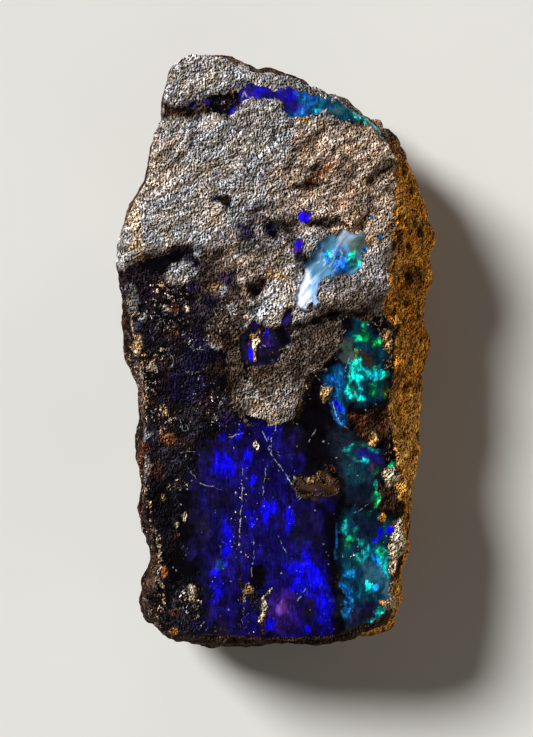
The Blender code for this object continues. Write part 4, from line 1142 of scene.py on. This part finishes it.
def store(mesh, looks):
    """Keep values and colours for each point, for the material to read."""
    for name, values in looks.items():
        if values.ndim == 2:
            attribute = mesh.attributes.new(name, "FLOAT_COLOR", "POINT")
            values = np.column_stack((values, np.ones(len(values))))
            attribute.data.foreach_set("color", np.clip(values, 0.0, 1.0).astype(np.float32).ravel())
        else:
            attribute = mesh.attributes.new(name, "FLOAT", "POINT")
            attribute.data.foreach_set("value", values.astype(np.float32))


# ---------------------------------------------------------------- material
# How many times the noise repeats in a metre along x, y and z.
EVEN = (1000.0, 1000.0, 1000.0)
UPRIGHT = (1000.0, 720.0, 1000.0)
STREAKED = (1000.0, 420.0, 1000.0)
LONG_STREAKS = (2400.0, 500.0, 1000.0)
FINE_NEEDLES = (6500.0, 1500.0, 1000.0)
FINE_THREADS = (5200.0, 1900.0, 1000.0)
SLANTED = (2600.0, 420.0, 1000.0)
SLANT = 0.68
THREAD_SLANT = 0.05

# Embossed noise, its step painted as light and shade: stretch, turn, the step towards the light, then scale,
# detail and roughness.
WRINKLES = (UPRIGHT, 0.0, (-0.055, 0.03, 0.02), (6.4, 2.0, 0.7))
COARSE_LUMPS = ((500.0, 1000.0, 1000.0), -0.54, (-0.04, 0.19, 0.05), (1.3, 3.0, 0.6))

# Plain noise: scale, detail and roughness.
CLOUDS = (0.55, 3.0, 0.6)
THREADS = (1.0, 4.0, 0.75)
WOBBLE = (1.1, 4.0, 0.7)
POLISH = (2.2, 3.0, 0.6)

# Cells: scale and reach of the noise that pushes their sides about, then scale of the cells.
SAND_GRAINS = (4.5, 0.2, 5.0)
FIRE_PATCHES = (2.2, 0.7, 1.7)
SPARKLES = (4.0, 0.35, 4.2)
DUST_CELLS = (6.0, 0.2, 5.0)

# Noise with a range: scale, detail, roughness, then the noise from and to, and the values from and to.
TEXTURES = {
    "sand patches": (2.7, 5.0, 0.82, 0.30, 0.70, 0.0, 1.0),
    "fleck patches": (3.8, 4.0, 0.75, 0.30, 0.70, 0.0, 1.0),
    "mottle": (0.9, 3.0, 0.55, 0.35, 0.65, 0.70, 1.30),
    "grime": (2.6, 3.0, 0.6, 0.34, 0.52, 0.45, 1.15),
    "warm patches": (0.7, 3.0, 0.6, 0.42, 0.70, 0.0, 0.8),
    "facets": (2.6, 4.0, 0.7, 0.41, 0.62, 0.15, 1.75),
    "billows": (1.5, 5.0, 0.7, 0.40, 0.66, 0.30, 1.7),
    "streaks": (1.0, 3.0, 0.65, 0.3, 0.7, 0.6, 1.4),
    "needles": (1.0, 3.0, 0.7, 0.34, 0.66, 0.35, 1.75),
    "body clouds": (1.4, 3.0, 0.6, 0.3, 0.7, 0.4, 1.5),
    "body grain": (8.0, 2.0, 0.6, 0.3, 0.7, 0.6, 1.4),
    "body streaks": (1.0, 4.0, 0.7, 0.36, 0.64, 0.5, 1.3),
    "scratch gaps": (3.4, 2.0, 0.5, 0.45, 0.56, 0.0, 1.0),
    "smears": (1.7, 3.0, 0.6, 0.4, 0.7, 0.20, 0.36),
    "floor": (40.0, 3.0, 0.5, 0.3, 0.7, 0.97, 1.03),
}

# Ranges: the value from and to, then what it becomes, from and to.
RANGES = {
    "sand edge": (0.02, 0.10, 0.0, 1.0),
    "fleck edge": (0.0, 0.10, 0.0, 1.0),
    "lit side": (-0.08, 0.08, 0.0, 2.15),
    "wrinkle light": (0.36, 0.50, 0.45, 1.2),
    "lump light": (-0.10, 0.10, 0.48, 1.46),
    "grain light": (0.0, 1.0, 0.8, 1.2),
    "gap light": (0.35, 0.75, 1.1, 0.6),
    "grain warmth": (0.6, 1.0, 0.0, 0.5),
    "lump shade warmth": (-0.08, 0.0, 0.6, 0.0),
    "crisp": (0.02, 0.12, 0.0, 1.0),
    "flash": (0.2, 0.95, 0.25, 1.5),
    "sparkle": (0.1, 0.9, 0.45, 1.5),
    "cloud": (0.36, 0.62, 0.45, 1.35),
    "milky body": (0.06, 0.22, 0.0, 1.0),
    "lit fire": (0.04, 0.20, 0.0, 1.0),
    "embers": (0.58, 0.70, 0.0, 0.6),
    "veils": (0.42, 0.30, 0.0, 0.35),
    "dust share": (0.35, 0.6, 0.01, 0.05),
    "dust size": (0.0, 1.0, 0.12, 0.38),
    "dust light": (0.0, 1.0, 0.05, 0.5),
    "scratch width": (0.008, 0.04, 0.8, 0.0),
    "room light": (0.1, 0.85, 0.32, 0.03),
}

COOL_GRAIN = (0.93, 0.99, 1.10)
WARM_GRAIN = (1.16, 0.98, 0.76)
VIOLET_FIRE = (1.3, 0.72, 1.15)
GREEN_FIRE = (0.7, 1.22, 0.8)
SCRATCH = tuple(screen(206, 213, 228))
EMBER = tuple(screen(58, 34, 52))
VEIL = tuple(screen(84, 92, 150))
FLOOR_COLOUR = tuple(screen(218, 219, 217))
FLOOR_ROUGHNESS = 0.8
PATCH_GAIN = 1.12
SCRATCH_WOBBLE = 0.7
DULL_ROUGHNESS = 0.92
POLISH_COAT = 0.10
COAT_ROUGHNESS = 0.12
SPECULAR_LEVEL = 0.03
DOME_HEIGHT = 0.25
WRINKLE_HEIGHT = 2.6
POLISH_HEIGHT = 0.03
BUMP_DISTANCE = 0.0002


class Nodes:
    """Short calls for building the nodes of a material or a world."""

    def __init__(self, owner):
        owner.use_nodes = True
        self.tree = owner.node_tree

    def put(self, target, value):
        """Link a socket to the target, or set it to a plain value."""
        if isinstance(value, bpy.types.NodeSocket):
            self.tree.links.new(value, target)
        else:
            target.default_value = value

    def fill(self, node, inputs):
        """Link or set several inputs of a node."""
        for name, value in inputs.items():
            self.put(node.inputs[name], value)
        return node

    def new(self, kind, inputs, **settings):
        """A new node with its settings made and its inputs filled."""
        node = self.tree.nodes.new("ShaderNode" + kind)
        for name, value in settings.items():
            setattr(node, name, value)
        return self.fill(node, inputs)

    def attribute(self, name, output="Color"):
        return self.new("Attribute", {}, attribute_name=name).outputs[output]

    def place(self, per_metre, turned=0.0, shift=(0.0, 0.0, 0.0)):
        """The point's place in the object, turned about the vertical, then scaled and shifted."""
        place = self.new("TexCoord", {}).outputs["Object"]
        turn = self.new("Mapping", {"Vector": place, "Rotation": (0.0, 0.0, turned)})
        scaled = self.new("Mapping", {"Vector": turn.outputs[0], "Scale": per_metre, "Location": shift})
        return scaled.outputs[0]

    def noise(self, place, scale, detail, roughness, output="Fac"):
        inputs = {"Vector": place, "Scale": scale, "Detail": detail, "Roughness": roughness}
        return self.new("TexNoise", inputs).outputs[output]

    def texture(self, place, name):
        """One of the named noises, mapped to its range of values."""
        scale, detail, roughness, *ends = TEXTURES[name]
        return self.spread(self.noise(place, scale, detail, roughness), *ends)

    def embossed(self, per_metre, turned, towards_light, noise):
        """Noise, and how far it stands above the noise a little way towards the light."""
        here = self.noise(self.place(per_metre, turned), *noise)
        there = self.noise(self.place(per_metre, turned, towards_light), *noise)
        return here, self.math("SUBTRACT", here, there)

    def cells(self, place, push_scale, push_reach, scale):
        """Cells with ragged sides: distance to the nearest one's middle, and three random values for it."""
        push = self.combine("SUBTRACT", self.noise(place, push_scale, 2.0, 0.5, "Color"), (0.5, 0.5, 0.5))
        pushed = self.combine("ADD", place, self.scale_colour(push, push_reach))
        cells = self.new("TexVoronoi", {"Vector": pushed, "Scale": scale})
        return cells.outputs["Distance"], *self.split(cells.outputs["Color"])

    def split(self, colour):
        return tuple(self.new("SeparateXYZ", {0: colour}).outputs)

    def spread(self, value, low, high, to_low, to_high):
        """A value mapped from one range to another and kept inside it."""
        inputs = {"Value": value, "From Min": low, "From Max": high, "To Min": to_low, "To Max": to_high}
        return self.new("MapRange", inputs).outputs["Result"]

    def ranged(self, value, name):
        """A value mapped by one of the named ranges."""
        return self.spread(value, *RANGES[name])

    def math(self, kind, first, second=0.0):
        return self.new("Math", {0: first, 1: second}, operation=kind).outputs[0]

    def times(self, *values):
        product = values[0]
        for value in values[1:]:
            product = self.math("MULTIPLY", product, value)
        return product

    def combine(self, kind, first, second):
        return self.new("VectorMath", {0: first, 1: second}, operation=kind).outputs["Vector"]

    def scale_colour(self, colour, amount):
        return self.new("VectorMath", {0: colour, "Scale": amount}, operation="SCALE").outputs["Vector"]

    def between(self, first, second, share):
        """A number that share of the way from the first to the second."""
        return self.new("Mix", {0: share, 2: first, 3: second}).outputs[0]

    def blend(self, first, second, share):
        """A colour that share of the way from the first to the second."""
        return self.new("Mix", {0: share, 4: first, 5: second}, data_type="VECTOR").outputs[1]


def coat_cover(nodes, upright, share, patches_name, edge_name):
    """Where a ragged coat lies: its share of the surface, broken up by noise."""
    spare = nodes.times(nodes.attribute(share, "Fac"), PATCH_GAIN)
    spare = nodes.math("SUBTRACT", spare, nodes.texture(upright, patches_name))
    return nodes.ranged(spare, edge_name)


def sandstone(nodes, even, upright):
    """Crinkled grains with dark gaps, in painted light and shade, cooler here and warmer there: their colour,
    cover and height.
    """
    sand = coat_cover(nodes, upright, "sand_share", "sand patches", "sand edge")
    flecks = coat_cover(nodes, upright, "fleck_share", "fleck patches", "fleck edge")
    gap, grain_light, grain_warmth, _ = nodes.cells(upright, *SAND_GRAINS)
    wrinkle, lit_side = nodes.embossed(*WRINKLES)
    _, lump_lit_side = nodes.embossed(*COARSE_LUMPS)
    # Painted light and shade: embossed sides lit from the upper left, darker wrinkle hollows and darker gaps
    # between grains; mottle and grime vary at random.
    light = nodes.times(nodes.ranged(lit_side, "lit side"), nodes.ranged(wrinkle, "wrinkle light"),
                        nodes.ranged(lump_lit_side, "lump light"), nodes.ranged(grain_light, "grain light"),
                        nodes.ranged(gap, "gap light"), nodes.texture(even, "mottle"),
                        nodes.texture(even, "grime"))
    warmth = nodes.math("ADD", nodes.texture(even, "warm patches"),
                        nodes.ranged(grain_warmth, "grain warmth"))
    # Painted shade: warmer colour on the lumps' shaded sides.
    warmth = nodes.math("ADD", warmth, nodes.ranged(lump_lit_side, "lump shade warmth"))
    colour = nodes.blend(nodes.attribute("sand"), nodes.attribute("fleck"), flecks)
    colour = nodes.combine("MULTIPLY", nodes.scale_colour(colour, light),
                           nodes.blend(COOL_GRAIN, WARM_GRAIN, warmth))
    dome = nodes.math("SUBTRACT", 1.0, nodes.times(gap, gap))
    height = nodes.math("ADD", nodes.times(dome, DOME_HEIGHT), nodes.times(wrinkle, WRINKLE_HEIGHT))
    return colour, nodes.math("MAXIMUM", sand, flecks), height


def dark_opal(nodes, even, upright, streaked):
    """Clouds of fire over a dark body, crisp flashes where it is green and soft ones where it is blue."""
    fire = nodes.attribute("fire")
    _, fire_green, fire_blue = nodes.split(fire)
    _, flash, hue, _ = nodes.cells(even, *FIRE_PATCHES)
    _, sparkle, _, _ = nodes.cells(even, *SPARKLES)
    mosaic = nodes.times(nodes.ranged(flash, "flash"), nodes.ranged(sparkle, "sparkle"),
                         nodes.texture(upright, "facets"))
    clouds = nodes.noise(streaked, *CLOUDS)
    light = nodes.between(nodes.texture(upright, "billows"), mosaic, nodes.ranged(fire_green, "crisp"))
    light = nodes.times(light, nodes.ranged(clouds, "cloud"),
                        nodes.texture(nodes.place(LONG_STREAKS), "streaks"),
                        nodes.texture(nodes.place(FINE_NEEDLES), "needles"))
    fire = nodes.combine("MULTIPLY", nodes.scale_colour(fire, light),
                         nodes.blend(VIOLET_FIRE, GREEN_FIRE, hue))

    body = nodes.attribute("body")
    _, body_green, _ = nodes.split(body)
    light = nodes.times(nodes.texture(even, "body clouds"), nodes.texture(even, "body grain"))
    light = nodes.between(light, nodes.texture(nodes.place(SLANTED, SLANT), "body streaks"),
                          nodes.ranged(body_green, "milky body"))
    opal = nodes.combine("ADD", nodes.scale_colour(body, light), fire)
    threads = nodes.noise(nodes.place(FINE_THREADS, THREAD_SLANT), *THREADS)
    lit_fire = nodes.ranged(fire_blue, "lit fire")
    opal = nodes.blend(opal, EMBER, nodes.times(nodes.ranged(threads, "embers"), lit_fire))
    opal = nodes.blend(opal, VEIL, nodes.times(nodes.ranged(threads, "veils"), lit_fire))

    gap, pick, size, dust_light = nodes.cells(even, *DUST_CELLS)
    dust = nodes.times(nodes.math("LESS_THAN", pick, nodes.ranged(clouds, "dust share")),
                       nodes.math("LESS_THAN", gap, nodes.ranged(size, "dust size")),
                       nodes.ranged(dust_light, "dust light"))
    return nodes.blend(opal, SCRATCH, dust)


def scratch_cover(nodes, even):
    """Where the thin broken scratches show."""
    wobble = nodes.times(nodes.math("SUBTRACT", nodes.noise(even, *WOBBLE), 0.5), SCRATCH_WOBBLE)
    aside = nodes.math("ABSOLUTE", nodes.math("ADD", nodes.attribute("scratch_aside", "Fac"), wobble))
    return nodes.times(nodes.ranged(aside, "scratch width"), nodes.attribute("scratch_cover", "Fac"),
                       nodes.texture(even, "scratch gaps"))


def stone_material():
    """Grained sandstone in a ragged coat over dark, glossy opal with flashes of fire."""
    material = bpy.data.materials.new("boulder_opal")
    nodes = Nodes(material)
    even = nodes.place(EVEN)
    upright = nodes.place(UPRIGHT)
    streaked = nodes.place(STREAKED)
    sand_colour, sand, sand_height = sandstone(nodes, even, upright)
    colour = nodes.blend(dark_opal(nodes, even, upright, streaked), sand_colour, sand)
    polish = nodes.times(nodes.noise(streaked, *POLISH), POLISH_HEIGHT)
    bump = nodes.new("Bump", {"Distance": BUMP_DISTANCE, "Height": nodes.between(polish, sand_height, sand)})
    nodes.fill(material.node_tree.nodes["Principled BSDF"], {
        "Base Color": nodes.blend(colour, SCRATCH, scratch_cover(nodes, even)),
        "Roughness": nodes.between(nodes.texture(even, "smears"), DULL_ROUGHNESS, sand),
        "Coat Weight": nodes.times(nodes.math("SUBTRACT", 1.0, sand), POLISH_COAT),
        "Coat Roughness": COAT_ROUGHNESS,
        "Specular IOR Level": SPECULAR_LEVEL,
        "Normal": bump.outputs["Normal"],
    })
    return material


def floor_material():
    """Plain pale floor with a hint of unevenness."""
    material = bpy.data.materials.new("pale_floor")
    nodes = Nodes(material)
    light = nodes.texture(nodes.place((1.0, 1.0, 1.0)), "floor")
    nodes.fill(material.node_tree.nodes["Principled BSDF"],
               {"Base Color": nodes.scale_colour(FLOOR_COLOUR, light), "Roughness": FLOOR_ROUGHNESS})
    return material


# ---------------------------------------------------------------- assembly
FLOOR_SIZE = 3.0
FLOOR_DROP = 0.01
ROOM_COLOUR = (1.0, 0.93, 0.85, 1.0)

# The camera looks straight down, in the photograph's frame: its lens, and its place in millimetres.
LENS = 149.9
CAMERA_PLACE = (-0.704, -1.31, 245.0)
CLIP_START = 0.01

# Suns: strength, angular size, colour, the way to them. A broad key at the upper left and a faint warm fill.
SUNS = {
    "key": (4.6, 0.34, (1.0, 0.98, 0.95), (-0.60, 0.45, 0.66)),
    "fill": (0.25, 1.2, (1.0, 0.86, 0.70), (0.78, -0.52, 0.34)),
}


def make_stone():
    mesh = build_stone()
    mesh.materials.clear()
    mesh.materials.append(stone_material())
    stone = bpy.data.objects.new("opal_stone", mesh)
    bpy.context.scene.collection.objects.link(stone)
    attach(stone, "root")
    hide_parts(NODE)


def make_floor():
    bpy.ops.mesh.primitive_plane_add(size=FLOOR_SIZE, location=(0.0, 0.0, -METRE * FLOOR_DROP))
    floor = bpy.context.object
    floor.name = "floor"
    floor.data.materials.append(floor_material())


def make_lights():
    """The suns, and a room that is dark overhead."""
    for name, (strength, angle, colour, facing) in SUNS.items():
        light = bpy.data.lights.new(name, "SUN")
        light.energy = strength
        light.angle = angle
        light.color = colour
        lamp = bpy.data.objects.new(name, light)
        lamp.rotation_euler = Vector(facing).to_track_quat("Z", "Y").to_euler()
        bpy.context.scene.collection.objects.link(lamp)
    world = bpy.data.worlds.new("room")
    bpy.context.scene.world = world
    nodes = Nodes(world)
    _, _, up = nodes.split(nodes.new("TexCoord", {}).outputs["Generated"])
    nodes.fill(world.node_tree.nodes["Background"],
               {"Color": ROOM_COLOUR, "Strength": nodes.ranged(up, "room light")})


def make_camera():
    camera = bpy.data.cameras.new("camera")
    camera.lens = LENS
    camera.clip_start = CLIP_START
    viewer = bpy.data.objects.new("camera", camera)
    viewer.location = METRE * Vector(CAMERA_PLACE)
    bpy.context.scene.collection.objects.link(viewer)
    bpy.context.scene.camera = viewer


make_camera()
make_lights()
make_floor()
make_stone()
bpy.context.scene.view_settings.view_transform = "Standard"
